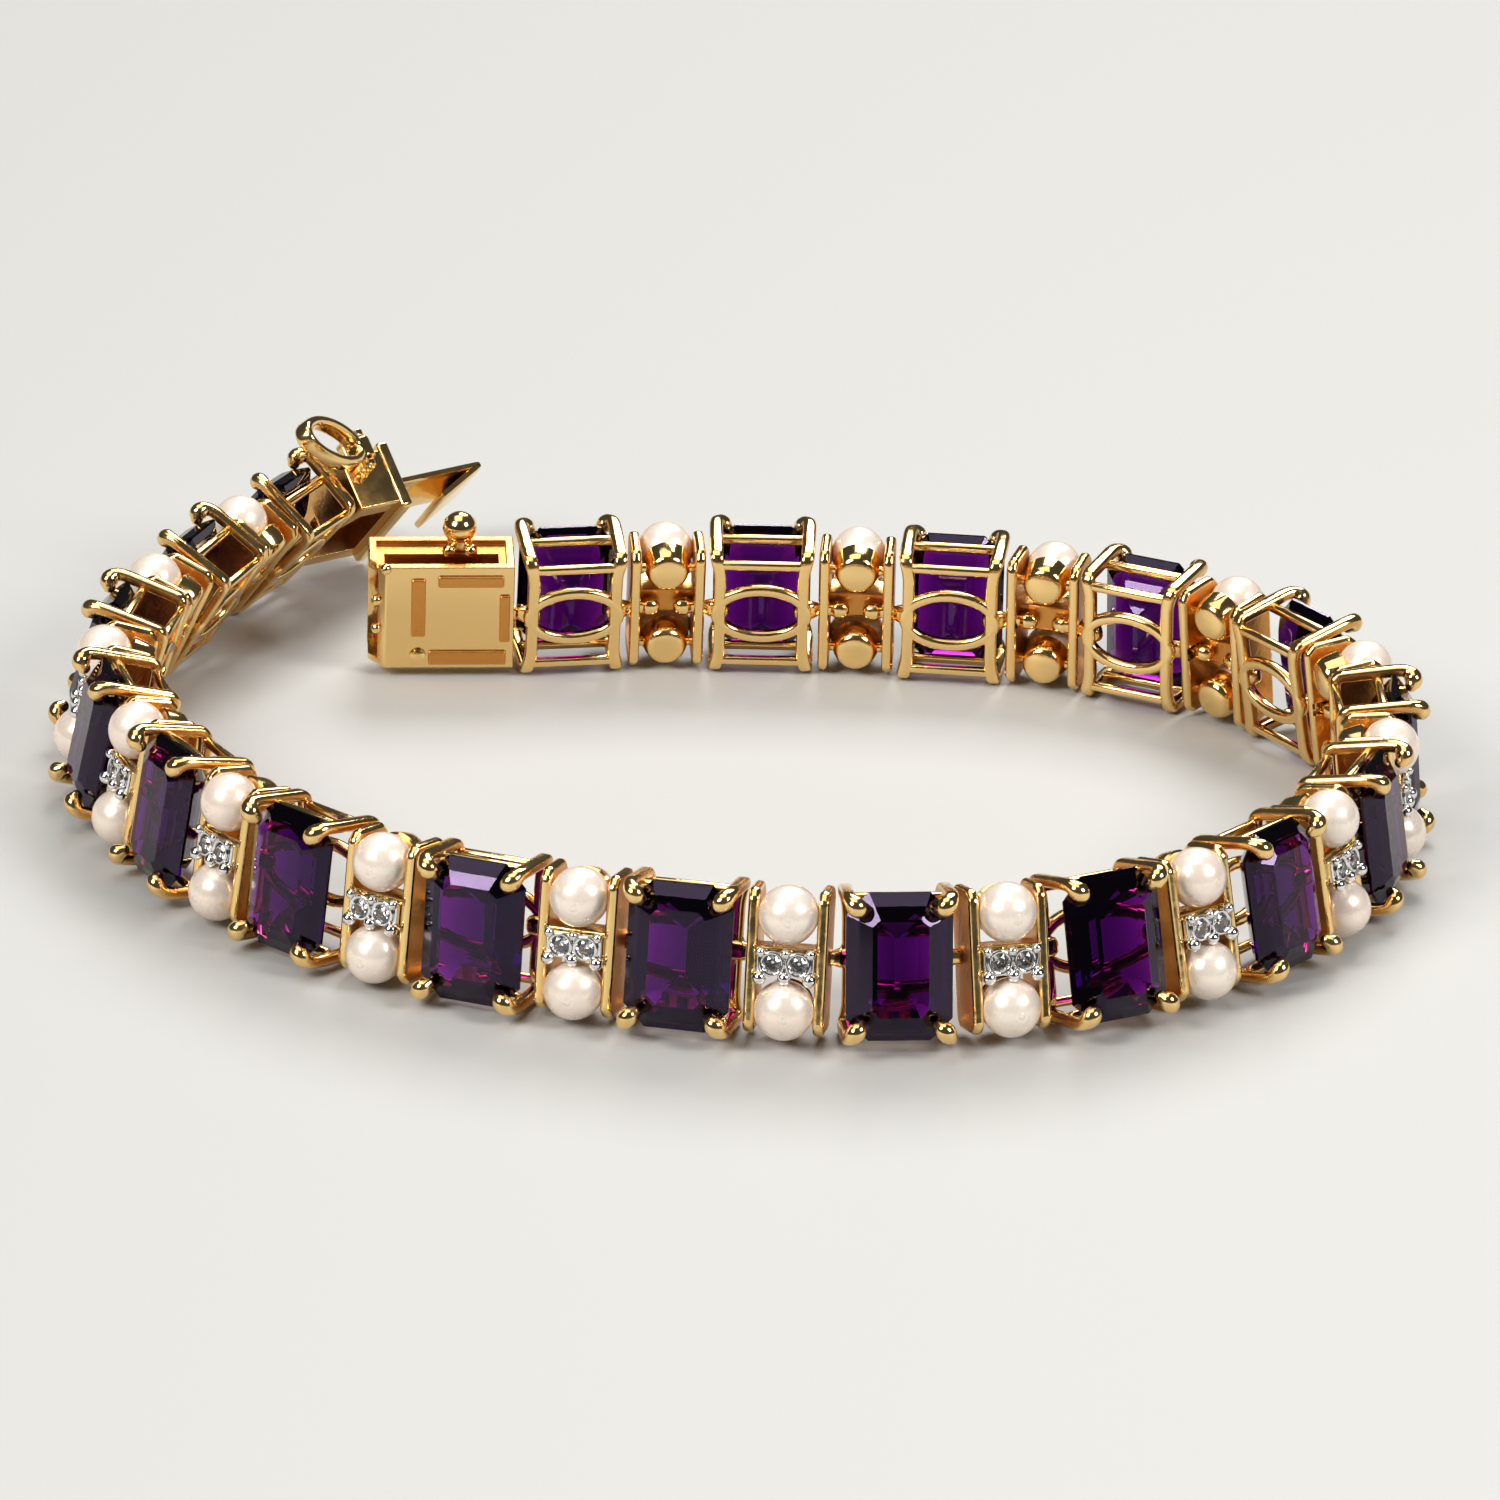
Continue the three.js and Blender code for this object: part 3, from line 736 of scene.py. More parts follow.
# %% Setting out and finishing
def set_out(tree, points, master, scale):
    """Real copies of a master geometry at each station, turned as the station says."""
    turn = add(tree, "GeometryNodeInputNamedAttribute", {"Name": "turn"}, data_type="QUATERNION")
    copies = add(
        tree,
        "GeometryNodeInstanceOnPoints",
        {"Points": points, "Instance": master, "Rotation": turn.outputs["Attribute"], "Scale": scale},
    )
    return add(tree, "GeometryNodeRealizeInstances", {0: copies.outputs[0]}).outputs[0]


def end_tree(tree, geometry, finish, output):
    """Gives a geometry its finish and sends it out of the tree."""
    finished = add(tree, "GeometryNodeSetMaterial", {0: geometry, "Material": finish})
    tree.links.new(finished.outputs[0], output)


# %% [markdown]
# The tree that sets out links first looks at each face of the master: where a face looks along the bracelet, no
# polishing wheel can reach it, so it is marked as cast, and the same mark paints it darker as shade between the
# links.

# %% Tree: links in a row
links_tree, links_in, links_out = new_group(
    "Links In A Row",
    "GeometryNodeTree",
    {
        "Stations": (GEOMETRY, None),
        "Link": (OBJECT, None),
        "Scale": (FLOAT, MM),
        "Finish": (MATERIAL, None),
    },
    {"Row": GEOMETRY},
)
master_info = add(links_tree, "GeometryNodeObjectInfo", {"Object": links_in["Link"]})
master_geometry = master_info.outputs["Geometry"]
normal_parts = add(
    links_tree, "ShaderNodeSeparateXYZ", {0: add(links_tree, "GeometryNodeInputNormal").outputs[0]}
)
sideways = calculate(links_tree, "ABSOLUTE", normal_parts.outputs["X"])
# Faces that look along the bracelet face the next link, and the mark gives them the cast skin and painted shade.
cast_and_shade_mask = add(
    links_tree, "ShaderNodeMapRange", {"Value": sideways, "From Min": 0.93, "From Max": 0.995}
)
earlier_cast_and_shade = add(
    links_tree, "GeometryNodeInputNamedAttribute", {"Name": "as_cast"}, data_type="FLOAT"
)
cast_and_shade_share = calculate(links_tree, "MAXIMUM", cast_and_shade_mask.outputs[0], earlier_cast_and_shade.outputs["Attribute"])
marked = add(
    links_tree,
    "GeometryNodeStoreNamedAttribute",
    {"Geometry": master_geometry, "Name": "as_cast", "Value": cast_and_shade_share},
    data_type="FLOAT",
    domain="POINT",
)
real_links = set_out(links_tree, links_in["Stations"], marked.outputs[0], links_in["Scale"])
end_tree(links_tree, real_links, links_in["Finish"], links_out["Row"])


# %% Grow a row of links
def row_of_links(name, master_mesh, matrices, finish):
    """Grows a row of copies of a master and returns its mesh."""
    master = placed(name + "_master", master_mesh)
    mesh = grow(
        name,
        links_tree,
        stations(name + "_stations", matrices),
        {"Link": master, "Scale": MM, "Finish": finish},
    )
    bpy.data.objects.remove(master)
    return mesh


# %% Finished pieces
def joined_mesh(name, meshes):
    """One mesh of several that share a finish, so every face takes the first material."""
    shape = bmesh.new()
    for mesh in meshes:
        shape.from_mesh(mesh)
    for face in shape.faces:
        face.material_index = 0
    joined = bpy.data.meshes.new(name)
    shape.to_mesh(joined)
    shape.free()
    return joined


def piece(name, mesh, finish, body, replaced=()):
    """Makes a mesh one finished piece that rides on a body and stands for CAD nodes."""
    joined = joined_mesh(name, [mesh])
    joined.materials.append(finish)
    made = placed(name, joined)
    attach(made, body)
    if replaced:
        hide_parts(*replaced)
    print(f"{name}: {sum(len(face.vertices) - 2 for face in joined.polygons)} triangles")


# %% [markdown]
# Hollows stay as cast too and are painted darker as shade, and a mesh can carry that from the start.


# %% Marking hollows
def mark_cast_and_shade(mesh, low, high, share=1.0):
    """Marks the points of a mesh inside a block of its own millimetres with the darker cast colour, used for cast
    skin and for painted shade.
    """
    mask = mesh.attributes.get("as_cast") or mesh.attributes.new("as_cast", "FLOAT", "POINT")
    for vertex, value in zip(mesh.vertices, mask.data):
        if all(low[axis] < vertex.co[axis] < high[axis] for axis in range(3)):
            value.value = share


# %% [markdown]
# ## The claw setting
#
# On the real link two gold bars run up the back of the stone. At the top and the
# bottom each bends forward into an arm, and each arm ends in a claw that is
# pressed down over one cut corner of the stone. So bar, arms and claws are one
# rod, bent like a C, and it can be drawn as one path: half of it, mirrored.
# Rails join the two rods behind the stone, an oval ring stiffens the back, and a
# lug reaches into the next link on each side.

# %% Setting sizes
BAR_ALONG = 2.12
ARM_ALONG = 2.40
ARM_UP = 3.33
BACK_DEPTH = 0.04
# The rod from the claw's nose to the middle of the bar:
# along, outward and up, then half width, half thickness and squareness.
CLAW_AND_ARM = (
    (1.84, 3.80, 2.70, 0.33, 0.33, 2.0),
    (2.00, 3.96, 2.86, 0.47, 0.46, 2.0),
    (2.18, 3.92, 3.06, 0.47, 0.46, 2.0),
    (2.36, 3.66, 3.28, 0.34, 0.32, 2.4),
    (ARM_ALONG, 3.20, ARM_UP, 0.34, 0.29, 3.0),
    (2.32, BACK_DEPTH, 3.22, 0.34, 0.29, 3.6),
    (BAR_ALONG, BACK_DEPTH, 2.4, 0.31, 0.30, 3.6),
    (BAR_ALONG, BACK_DEPTH, 0.0, 0.30, 0.30, 3.6),
)
# The back rails and the gallery rails under the girdle: outward and up.
RAILS = ((BACK_DEPTH, 2.78), (2.16, 3.12))
RAIL_HALF = 0.24
EYE_HALF_WIDTH = 2.3
EYE_HALF_HEIGHT = 1.36
EYE_WIRE = 0.31
EYE_STEPS = 32
HINGE_DEPTH = 0.6
LUG_REACH = 4.12
LUG_ROWS = (
    (2.05, 0.36, 0, 0.44, 0.50, 3.0),
    (2.62, 0.52, 0, 0.32, 0.46, 3.0),
    (2.92, HINGE_DEPTH, 0, 0.24, 0.32, 3.0),
    (3.60, HINGE_DEPTH, 0, 0.24, 0.32, 3.0),
    (3.80, HINGE_DEPTH, 0, 0.40, 0.46, 2.2),
    (LUG_REACH, HINGE_DEPTH, 0, 0.40, 0.46, 2.0),
)


# %% Setting paths
def both_ways(rows):
    """Rows followed by their mirror image below, sharing the last row."""
    mirror = [(*row[:2], -row[2], *row[3:]) for row in rows]
    return list(rows) + mirror[-2::-1]


def oval(half_width, half_height, depth, wire, steps=EYE_STEPS):
    """Rows of a closed oval ring that lies across the link."""
    rows = []
    for step in range(steps):
        angle = 2 * math.pi * step / steps
        x, z = half_width * math.cos(angle), half_height * math.sin(angle)
        rows.append((x, depth, z, wire, wire, 2.6))
    return rows


# %% Setting master
claw_rod = rod(both_ways(CLAW_AND_ARM), radius=0.42)
setting_shells = [claw_rod, mirrored(claw_rod)]
for depth, up in RAILS:
    for end in (-1, 1):
        ends = [(side * BAR_ALONG, depth, end * up, RAIL_HALF, RAIL_HALF, 2.6) for side in (-1, 1)]
        setting_shells.append(rod(ends, side=(0, 1, 0), radius=0))
eye_rows = oval(EYE_HALF_WIDTH, EYE_HALF_HEIGHT, BACK_DEPTH, EYE_WIRE)
setting_shells.append(rod(eye_rows, (0, 1, 0), 0, closed=True))
lug_shell = rod(LUG_ROWS, side=(0, 1, 0), radius=0.1)
setting_shells += [lug_shell, mirrored(lug_shell)]
setting_mesh = smoothed(mesh_from("setting", setting_shells))
settings_row = row_of_links("amethyst_settings", setting_mesh, amethyst_frames, gold)
setting_nodes = [f"amethyst_setting_{n}" for n in amethyst_numbers]
piece("amethyst_settings", settings_row, gold, "bracelet", setting_nodes)

# %% [markdown]
# ## The step-cut stone
#
# An emerald cut follows a plain rule: every step is the same eight-sided outline,
# drawn in by an inset at a level of its own, and the corner cut shortens as it is
# drawn in. A rule like that suits Geometry Nodes: a cylinder gives rings of eight
# points, and the tree moves each ring to its own step of a small profile. Changing
# the profile recuts all eighteen stones.

# %% Stone sizes
STONE_WIDTH = 5.0
STONE_HEIGHT = 7.0
STONE_CORNER = 1.05
LEAST_CORNER = 0.08
GIRDLE_DEPTH = 2.9
# Each step: how far it is drawn in, and its level from the girdle.
STONE_STEPS = (
    (2.36, -2.04),
    (1.55, -1.50),
    (0.95, -1.00),
    (0.45, -0.50),
    (0.0, 0.0),
    (0.0, 0.14),
    (0.60, 0.58),
    (1.18, 0.88),
)

# %% Tree: step-cut stones
cut_tree, cut_in, cut_out = new_group(
    "Step-Cut Stones",
    "GeometryNodeTree",
    {
        "Stations": (GEOMETRY, None),
        "Steps": (OBJECT, None),
        "Step Count": (INTEGER, 8),
        "Width": (FLOAT, 5.0),
        "Height": (FLOAT, 7.0),
        "Corner": (FLOAT, 1.0),
        "Least Corner": (FLOAT, 0.1),
        "Girdle Depth": (FLOAT, 2.9),
        "Scale": (FLOAT, MM),
        "Finish": (MATERIAL, None),
    },
    {"Stones": GEOMETRY},
)
OUTLINE_SIDES = 8
HALF_A_SIDE = math.pi / OUTLINE_SIDES
gaps_between = calculate(cut_tree, "SUBTRACT", cut_in["Step Count"], 1.0)
rings = add(
    cut_tree,
    "GeometryNodeMeshCylinder",
    {"Vertices": OUTLINE_SIDES, "Side Segments": gaps_between, "Radius": 1.0, "Depth": gaps_between},
)
turned_rings = add(
    cut_tree,
    "GeometryNodeTransform",
    {"Geometry": rings.outputs["Mesh"], "Rotation": (0, 0, HALF_A_SIDE)},
)
cylinder_point = add(cut_tree, "GeometryNodeInputPosition").outputs[0]
here = add(cut_tree, "ShaderNodeSeparateXYZ", {0: cylinder_point})
half_depth = calculate(cut_tree, "MULTIPLY", gaps_between, 0.5)
ring_number = calculate(cut_tree, "ROUND", calculate(cut_tree, "ADD", here.outputs["Z"], half_depth))
profile = add(cut_tree, "GeometryNodeObjectInfo", {"Object": cut_in["Steps"]}).outputs["Geometry"]
profile_point = add(cut_tree, "GeometryNodeInputPosition").outputs[0]
step_here = add(
    cut_tree,
    "GeometryNodeSampleIndex",
    {"Geometry": profile, "Value": profile_point, "Index": ring_number},
    data_type="FLOAT_VECTOR",
)
step_parts = add(cut_tree, "ShaderNodeSeparateXYZ", {0: step_here.outputs["Value"]})
inset, level = step_parts.outputs["X"], step_parts.outputs["Y"]
# A cut corner drawn in by an inset loses (2 - sqrt 2) of it from its own length.
corner_loss = calculate(cut_tree, "MULTIPLY", inset, 2 - math.sqrt(2))
corner_cut = calculate(cut_tree, "SUBTRACT", cut_in["Corner"], corner_loss)
corner_cut = calculate(cut_tree, "MAXIMUM", corner_cut, cut_in["Least Corner"])
across_size = calculate(cut_tree, "ABSOLUTE", here.outputs["X"])
up_size = calculate(cut_tree, "ABSOLUTE", here.outputs["Y"])
on_long_side = calculate(cut_tree, "GREATER_THAN", across_size, up_size)
on_short_side = calculate(cut_tree, "SUBTRACT", 1.0, on_long_side)


# %% Tree: outline and finish of a stone
def outline_reach(size, sign_source, cut_here):
    """One coordinate: half the size, less the inset, less the corner where it is cut."""
    half_size = calculate(cut_tree, "MULTIPLY", size, 0.5)
    drawn_in = calculate(cut_tree, "SUBTRACT", half_size, inset)
    cut_off = calculate(cut_tree, "MULTIPLY", corner_cut, cut_here)
    reach = calculate(cut_tree, "SUBTRACT", drawn_in, cut_off)
    return calculate(cut_tree, "MULTIPLY", reach, calculate(cut_tree, "SIGN", sign_source))


stone_point = add(
    cut_tree,
    "ShaderNodeCombineXYZ",
    {
        "X": outline_reach(cut_in["Width"], here.outputs["X"], on_short_side),
        "Y": calculate(cut_tree, "ADD", level, cut_in["Girdle Depth"]),
        "Z": outline_reach(cut_in["Height"], here.outputs["Y"], on_long_side),
    },
)
shaped = add(
    cut_tree,
    "GeometryNodeSetPosition",
    {"Geometry": turned_rings.outputs[0], "Position": stone_point.outputs[0]},
)
# Standing the cylinder on the link's outward axis mirrors it, so its faces are flipped back.
outward_faces = add(cut_tree, "GeometryNodeFlipFaces", {0: shaped.outputs[0]})
flat_faces = add(
    cut_tree,
    "GeometryNodeSetShadeSmooth",
    {"Geometry": outward_faces.outputs[0], "Shade Smooth": False},
)
real_stones = set_out(cut_tree, cut_in["Stations"], flat_faces.outputs[0], cut_in["Scale"])
end_tree(cut_tree, real_stones, cut_in["Finish"], cut_out["Stones"])


# %% Cut the stones
def profile_mesh(name, steps):
    """A mesh of loose points that carry a profile."""
    mesh = bpy.data.meshes.new(name)
    mesh.from_pydata([(inset, level, 0) for inset, level in steps], [], [])
    return mesh


steps_object = placed("stone_steps", profile_mesh("stone_steps", STONE_STEPS))
stones = grow(
    "amethysts",
    cut_tree,
    stations("stone_stations", amethyst_frames),
    {
        "Steps": steps_object,
        "Step Count": len(STONE_STEPS),
        "Width": STONE_WIDTH,
        "Height": STONE_HEIGHT,
        "Corner": STONE_CORNER,
        "Least Corner": LEAST_CORNER,
        "Girdle Depth": GIRDLE_DEPTH,
        "Scale": MM,
        "Finish": amethyst,
    },
)
bpy.data.objects.remove(steps_object)
stone_nodes = [f"amethyst_{n}" for n in amethyst_numbers]
piece("amethysts", stones, amethyst, "bracelet", stone_nodes)

# %% [markdown]
# ## Flat-sided and turned parts
#
# The bands of the pearl links and the two halves of the clasp are flat-sided:
# sawn from plate or cast with flat walls, and then rubbed down at the edges. They
# are made as a saw would make them. A prism is drawn out from its outline,
# openings are cut with Boolean modifiers, and a small bevel takes off every hard
# edge, so that edges catch a line of light. Weighted normals keep the flats flat.
# Cups, pegs and rivets are round, and a short profile turned about an axis makes
# them.


# %% Prisms
def prism(outline, axis, low, high):
    """A shell: an outline of (first, second) drawn out along an axis (0, 1 or 2)."""
    points = []
    for level in (low, high):
        for first, second in outline:
            place = [first, second]
            place.insert(axis, level)
            points.append(Vector(place))
    count = len(outline)
    faces = [tuple(range(count)), tuple(range(2 * count - 1, count - 1, -1))]
    for index in range(count):
        after = (index + 1) % count
        faces.append((index, index + count, after + count, after))
    return points, faces


def block(low, high):
    """A shell: a box between two opposite corners."""
    corners = [(low[0], low[1]), (high[0], low[1]), (high[0], high[1]), (low[0], high[1])]
    return prism(corners, 2, low[2], high[2])


# %% Uniting, cutting and bevelling
def add_bevel(thing, width, segments, least_angle):
    """Rounds every edge that turns by more than an angle in degrees."""
    bevel = thing.modifiers.new("bevel", "BEVEL")
    bevel.width = width
    bevel.segments = segments
    bevel.limit_method = "ANGLE"
    bevel.angle_limit = math.radians(least_angle)


def carved(name, shells, cuts=(), bevel=0.1, cut_bevel=0.03):
    """Unites shells, rounds them, cuts others away and takes the edge off the cuts."""
    body = placed(name, mesh_from(name, shells[:1]))
    tools = []

    def add_boolean(operation, shell):
        tools.append(placed("tool", mesh_from("tool", [shell])))
        boolean = body.modifiers.new("boolean", "BOOLEAN")
        boolean.solver = "EXACT"
        boolean.operation = operation
        boolean.object = tools[-1]

    for shell in shells[1:]:
        add_boolean("UNION", shell)
    add_bevel(body, bevel, 4, 30)
    for shell in cuts:
        add_boolean("DIFFERENCE", shell)
    if cuts:
        add_bevel(body, cut_bevel, 1, 50)
    body.data.shade_smooth()
    body.modifiers.new("weights", "WEIGHTED_NORMAL")
    depsgraph = bpy.context.evaluated_depsgraph_get()
    mesh = bpy.data.meshes.new_from_object(
        body.evaluated_get(depsgraph), preserve_all_data_layers=True, depsgraph=depsgraph
    )
    for thing in tools + [body]:
        bpy.data.objects.remove(thing)
    return mesh


# %% Turning
def turned(profile, centre, axis=(0, 1, 0), sides=24):
    """A shell: a profile of (radius, level) turned about an axis through centre."""
    axis = Vector(axis)
    across = axis.orthogonal().normalized()
    through = axis.cross(across)
    points = []
    for radius, level in profile:
        for step in range(sides):
            angle = 2 * math.pi * step / sides
            around = across * math.cos(angle) + through * math.sin(angle)
            points.append(Vector(centre) + axis * level + around * radius)
    faces = [tuple(range(sides)), tuple(range(len(points) - 1, len(points) - sides - 1, -1))]
    for ring in range(len(profile) - 1):
        for step in range(sides):
            a = ring * sides + step
            b = ring * sides + (step + 1) % sides
            faces.append((a, a + sides, b + sides, b))
    return points, faces


def bead(centre, radius, steps=8, sides=16):
    """A ball, as a profile of rings from pole to pole."""
    angles = [math.pi * (step + 0.25) / (steps + 0.5 - 1) for step in range(steps)]
    profile = [(radius * math.sin(angle), -radius * math.cos(angle)) for angle in angles]
    return turned(profile, centre, sides=sides)


# %% [markdown]
# ## The pearl link
#
# Two upright bands stand like bookends. Between them a pearl sits in a cup at each
# end, and a small bar across the middle carries the zircons. The gap between bar
# and upper pearl is open, and light comes through it. The slot low in each band
# is the joint: the neighbour's lug passes through it and its head keeps it there.

# %% Pearl link sizes
BAND_INNER, BAND_OUTER = 1.37, 1.91
BAND_DEPTH = 2.9
BAND_TOP = 3.45
BAND_CORNER = 0.45
SLOT_LOW = (0.12, -0.35)
SLOT_HIGH = (1.08, 0.35)
PEARL_RADIUS = 1.42
PEARL_DEPTH = 2.6
PEARL_UP = 2.26
CUP_PROFILE = (
    (0.10, 0.06),
    (0.72, 0.08),
    (0.92, 0.18),
    (1.05, 0.38),
    (1.13, 0.66),
    (1.21, 1.02),
    (1.25, 1.28),
    (1.16, 1.38),
    (0.10, 1.28),
)
CUP_UP = 2.2
CROSSBAR_DEPTH = 0.85
CROSSBAR_HALF = 0.24
CROSSBAR_ENDS = (-1.45, 1.45)
BAR_LOW = (-1.45, 1.15, -0.6)
BAR_HIGH = (1.45, 2.72, 0.72)

# %% Pearl link master
band_outline = [
    (0, -BAND_TOP + BAND_CORNER),
    (BAND_CORNER, -BAND_TOP),
    (BAND_DEPTH - BAND_CORNER, -BAND_TOP),
    (BAND_DEPTH, -BAND_TOP + BAND_CORNER),
    (BAND_DEPTH, BAND_TOP - BAND_CORNER),
    (BAND_DEPTH - BAND_CORNER, BAND_TOP),
    (BAND_CORNER, BAND_TOP),
    (0, BAND_TOP - BAND_CORNER),
]
pearl_link_parts = []
for side in (-1, 1):
    low, high = sorted((side * BAND_INNER, side * BAND_OUTER))
    lug_slot = block((low - 1, *SLOT_LOW), (high + 1, *SLOT_HIGH))
    pearl_link_parts.append(carved("band", [prism(band_outline, 0, low, high)], [lug_slot], 0.22))
cluster_bar = carved("bar", [block(BAR_LOW, BAR_HIGH)])
# The back of the bar, in the hollow behind the pearls, is painted darker as shade.
mark_cast_and_shade(cluster_bar, (-2, 0, -2), (2, 2.6, 2))
cups = []
for end in (-1, 1):
    ends = [
        (x, CROSSBAR_DEPTH, end * CUP_UP, CROSSBAR_HALF, CROSSBAR_HALF, 2.2) for x in CROSSBAR_ENDS
    ]
    cups += [turned(CUP_PROFILE, (0, 0, end * CUP_UP), sides=32), rod(ends, (0, 1, 0), 0)]
pearl_link_parts += [cluster_bar, smoothed(mesh_from("cups", cups))]
pearl_link_mesh = joined_mesh("pearl_link", pearl_link_parts)
pearl_row = row_of_links("pearl_frames", pearl_link_mesh, pearl_frames, gold)
pearl_nodes = [f"pearl_link_{n}" for n in pearl_numbers]
piece("pearl_frames", pearl_row, gold, "bracelet", pearl_nodes)

# %% [markdown]
# ## Pearls
#
# Small cultured pearls are near round, never quite. The tree makes one ball, gives
# each place a tone of its own, sets the balls out and then pushes each surface in
# and out a little by a noise that depends on the tone. The pearl's own
# coordinates are stored before it is placed, for the finish to use.

# %% Tree: pearls
pearls_tree, pearls_in, pearls_out = new_group(
    "Pearls",
    "GeometryNodeTree",
    {
        "Stations": (GEOMETRY, None),
        "Radius": (FLOAT, 1.4),
        "Unevenness": (FLOAT, 0.05),
        "Tone Seed": (INTEGER, 7),
        "Scale": (FLOAT, MM),
        "Finish": (MATERIAL, None),
    },
    {"Pearls": GEOMETRY},
)
ball = add(
    pearls_tree,
    "GeometryNodeMeshUVSphere",
    {"Segments": 40, "Rings": 24, "Radius": pearls_in["Radius"]},
)
ball_with_point = add(
    pearls_tree,
    "GeometryNodeStoreNamedAttribute",
    {
        "Geometry": ball.outputs["Mesh"],
        "Name": "pearl_point",
        "Value": add(pearls_tree, "GeometryNodeInputPosition").outputs[0],
    },
    data_type="FLOAT_VECTOR",
    domain="POINT",
)
smooth_ball = add(
    pearls_tree,
    "GeometryNodeSetShadeSmooth",
    {"Geometry": ball_with_point.outputs[0], "Shade Smooth": True},
)
tone = add(pearls_tree, "FunctionNodeRandomValue", {"Seed": pearls_in["Tone Seed"]}, data_type="FLOAT")
toned = add(
    pearls_tree,
    "GeometryNodeStoreNamedAttribute",
    {"Geometry": pearls_in["Stations"], "Name": "pearl_tone", "Value": tone.outputs[1]},
    data_type="FLOAT",
    domain="POINT",
)

# %% Tree: set out and push the pearls
real_pearls = set_out(pearls_tree, toned.outputs[0], smooth_ball.outputs[0], pearls_in["Scale"])
own_point = add(
    pearls_tree, "GeometryNodeInputNamedAttribute", {"Name": "pearl_point"}, data_type="FLOAT_VECTOR"
)
own_tone = add(
    pearls_tree, "GeometryNodeInputNamedAttribute", {"Name": "pearl_tone"}, data_type="FLOAT"
)
lumps = add(
    pearls_tree,
    "ShaderNodeTexNoise",
    {
        "Vector": own_point.outputs["Attribute"],
        "W": calculate(pearls_tree, "MULTIPLY", own_tone.outputs["Attribute"], 50.0),
        "Scale": 0.5,
        "Detail": 1.0,
    },
    noise_dimensions="4D",
).outputs[0]
push = calculate(
    pearls_tree,
    "MULTIPLY",
    calculate(pearls_tree, "SUBTRACT", lumps, 0.5),
    calculate(pearls_tree, "MULTIPLY", pearls_in["Unevenness"], pearls_in["Scale"]),
)
push_vector = add(
    pearls_tree,
    "ShaderNodeVectorMath",
    {0: add(pearls_tree, "GeometryNodeInputNormal").outputs[0], "Scale": push},
    operation="SCALE",
)
uneven = add(
    pearls_tree,
    "GeometryNodeSetPosition",
    {"Geometry": real_pearls, "Offset": push_vector.outputs[0]},
)
end_tree(pearls_tree, uneven.outputs[0], pearls_in["Finish"], pearls_out["Pearls"])

# %% Set the pearls
PEARL_UNEVENNESS = 0.1
TONE_SEED = 11

pearl_seats = [(0, PEARL_DEPTH, end * PEARL_UP) for end in (-1, 1)]
pearl_mesh = grow(
    "pearls",
    pearls_tree,
    stations("pearl_stations", at(pearl_frames, pearl_seats)),
    {
        "Radius": PEARL_RADIUS,
        "Unevenness": PEARL_UNEVENNESS,
        "Tone Seed": TONE_SEED,
        "Scale": MM,
        "Finish": pearl,
    },
)
piece("pearls", pearl_mesh, pearl, "bracelet")

# %% [markdown]
# ## The zircon clusters
#
# Each bar carries two round zircons in thin white collars, held by beads raised
# from the metal: three small ones above and three fuller ones below. A brilliant
# cut is convex, so its facets need not be drawn one by one. The corners of the
# table, crown, girdle and culet are enough, and their convex hull is the stone.

# %% Cluster sizes
ZIRCON_ALONG = 0.62
ZIRCON_DEPTH = 3.2
# Each ring of corners: how many, the share of a step they are turned, radius and level.
ZIRCON_RINGS = (
    (8, 0.0, 0.27, 0.16),
    (8, 0.5, 0.41, 0.08),
    (16, 0.0, 0.50, 0.0),
    (16, 0.0, 0.50, -0.03),
    (1, 0.0, 0.0, -0.45),
)
COLLAR_RADIUS = 0.53
COLLAR_WIRE = 0.09
COLLAR_STEPS = 24
BEADS = (
    (-1.18, 0.55, 0.25),
    (0.0, 0.52, 0.24),
    (1.18, 0.55, 0.25),
    (-1.18, -0.68, 0.34),
    (0.0, -0.64, 0.33),
    (1.18, -0.68, 0.34),
)
BEAD_DEPTH = 3.24
SEAT_LOW = (-1.36, 2.6, -0.56)
SEAT_HIGH = (1.36, 3.12, 0.56)
SEAT_HOLE = ((0.47, 2.0), (0.47, 4.0))


# %% Cluster masters
def brilliant(shape, centre):
    """Adds the convex hull of a brilliant's corners to a bmesh."""
    corners = []
    for count, shift, radius, level in ZIRCON_RINGS:
        for step in range(count):
            angle = 2 * math.pi * (step + shift) / count
            offset = Vector((radius * math.cos(angle), level, radius * math.sin(angle)))
            corners.append(shape.verts.new(Vector(centre) + offset))
    bmesh.ops.convex_hull(shape, input=corners)


zircon_shape = bmesh.new()
collars = []
for side in (-1, 1):
    middle = Vector((side * ZIRCON_ALONG, ZIRCON_DEPTH, 0))
    brilliant(zircon_shape, middle)
    ring_rows = oval(COLLAR_RADIUS, COLLAR_RADIUS, ZIRCON_DEPTH, COLLAR_WIRE, COLLAR_STEPS)
    ring_rows = [(row[0] + middle.x, *row[1:]) for row in ring_rows]
    collars.append(rod(ring_rows, (0, 1, 0), 0, closed=True))
bmesh.ops.recalc_face_normals(zircon_shape, faces=zircon_shape.faces)
zircon_master = bpy.data.meshes.new("zircons")
zircon_shape.to_mesh(zircon_master)
zircon_shape.free()
zircon_row = row_of_links("zircons", zircon_master, pearl_frames, zircon)
piece("zircons", zircon_row, zircon, "bracelet")

# Each stone's point hangs free in a hole, so that light comes back out of it.
seat_holes = [turned(SEAT_HOLE, (side * ZIRCON_ALONG, 0, 0)) for side in (-1, 1)]
raised_beads = [bead((x, BEAD_DEPTH, z), radius, sides=12) for x, z, radius in BEADS]
cluster_parts = [
    carved("seat", [block(SEAT_LOW, SEAT_HIGH)], seat_holes, bevel=0.1),
    smoothed(mesh_from("collars", collars + raised_beads)),
]
cluster_mesh = joined_mesh("cluster", cluster_parts)
cluster_row = row_of_links("clusters", cluster_mesh, pearl_frames, white_metal)
piece("clusters", cluster_row, white_metal, "bracelet")
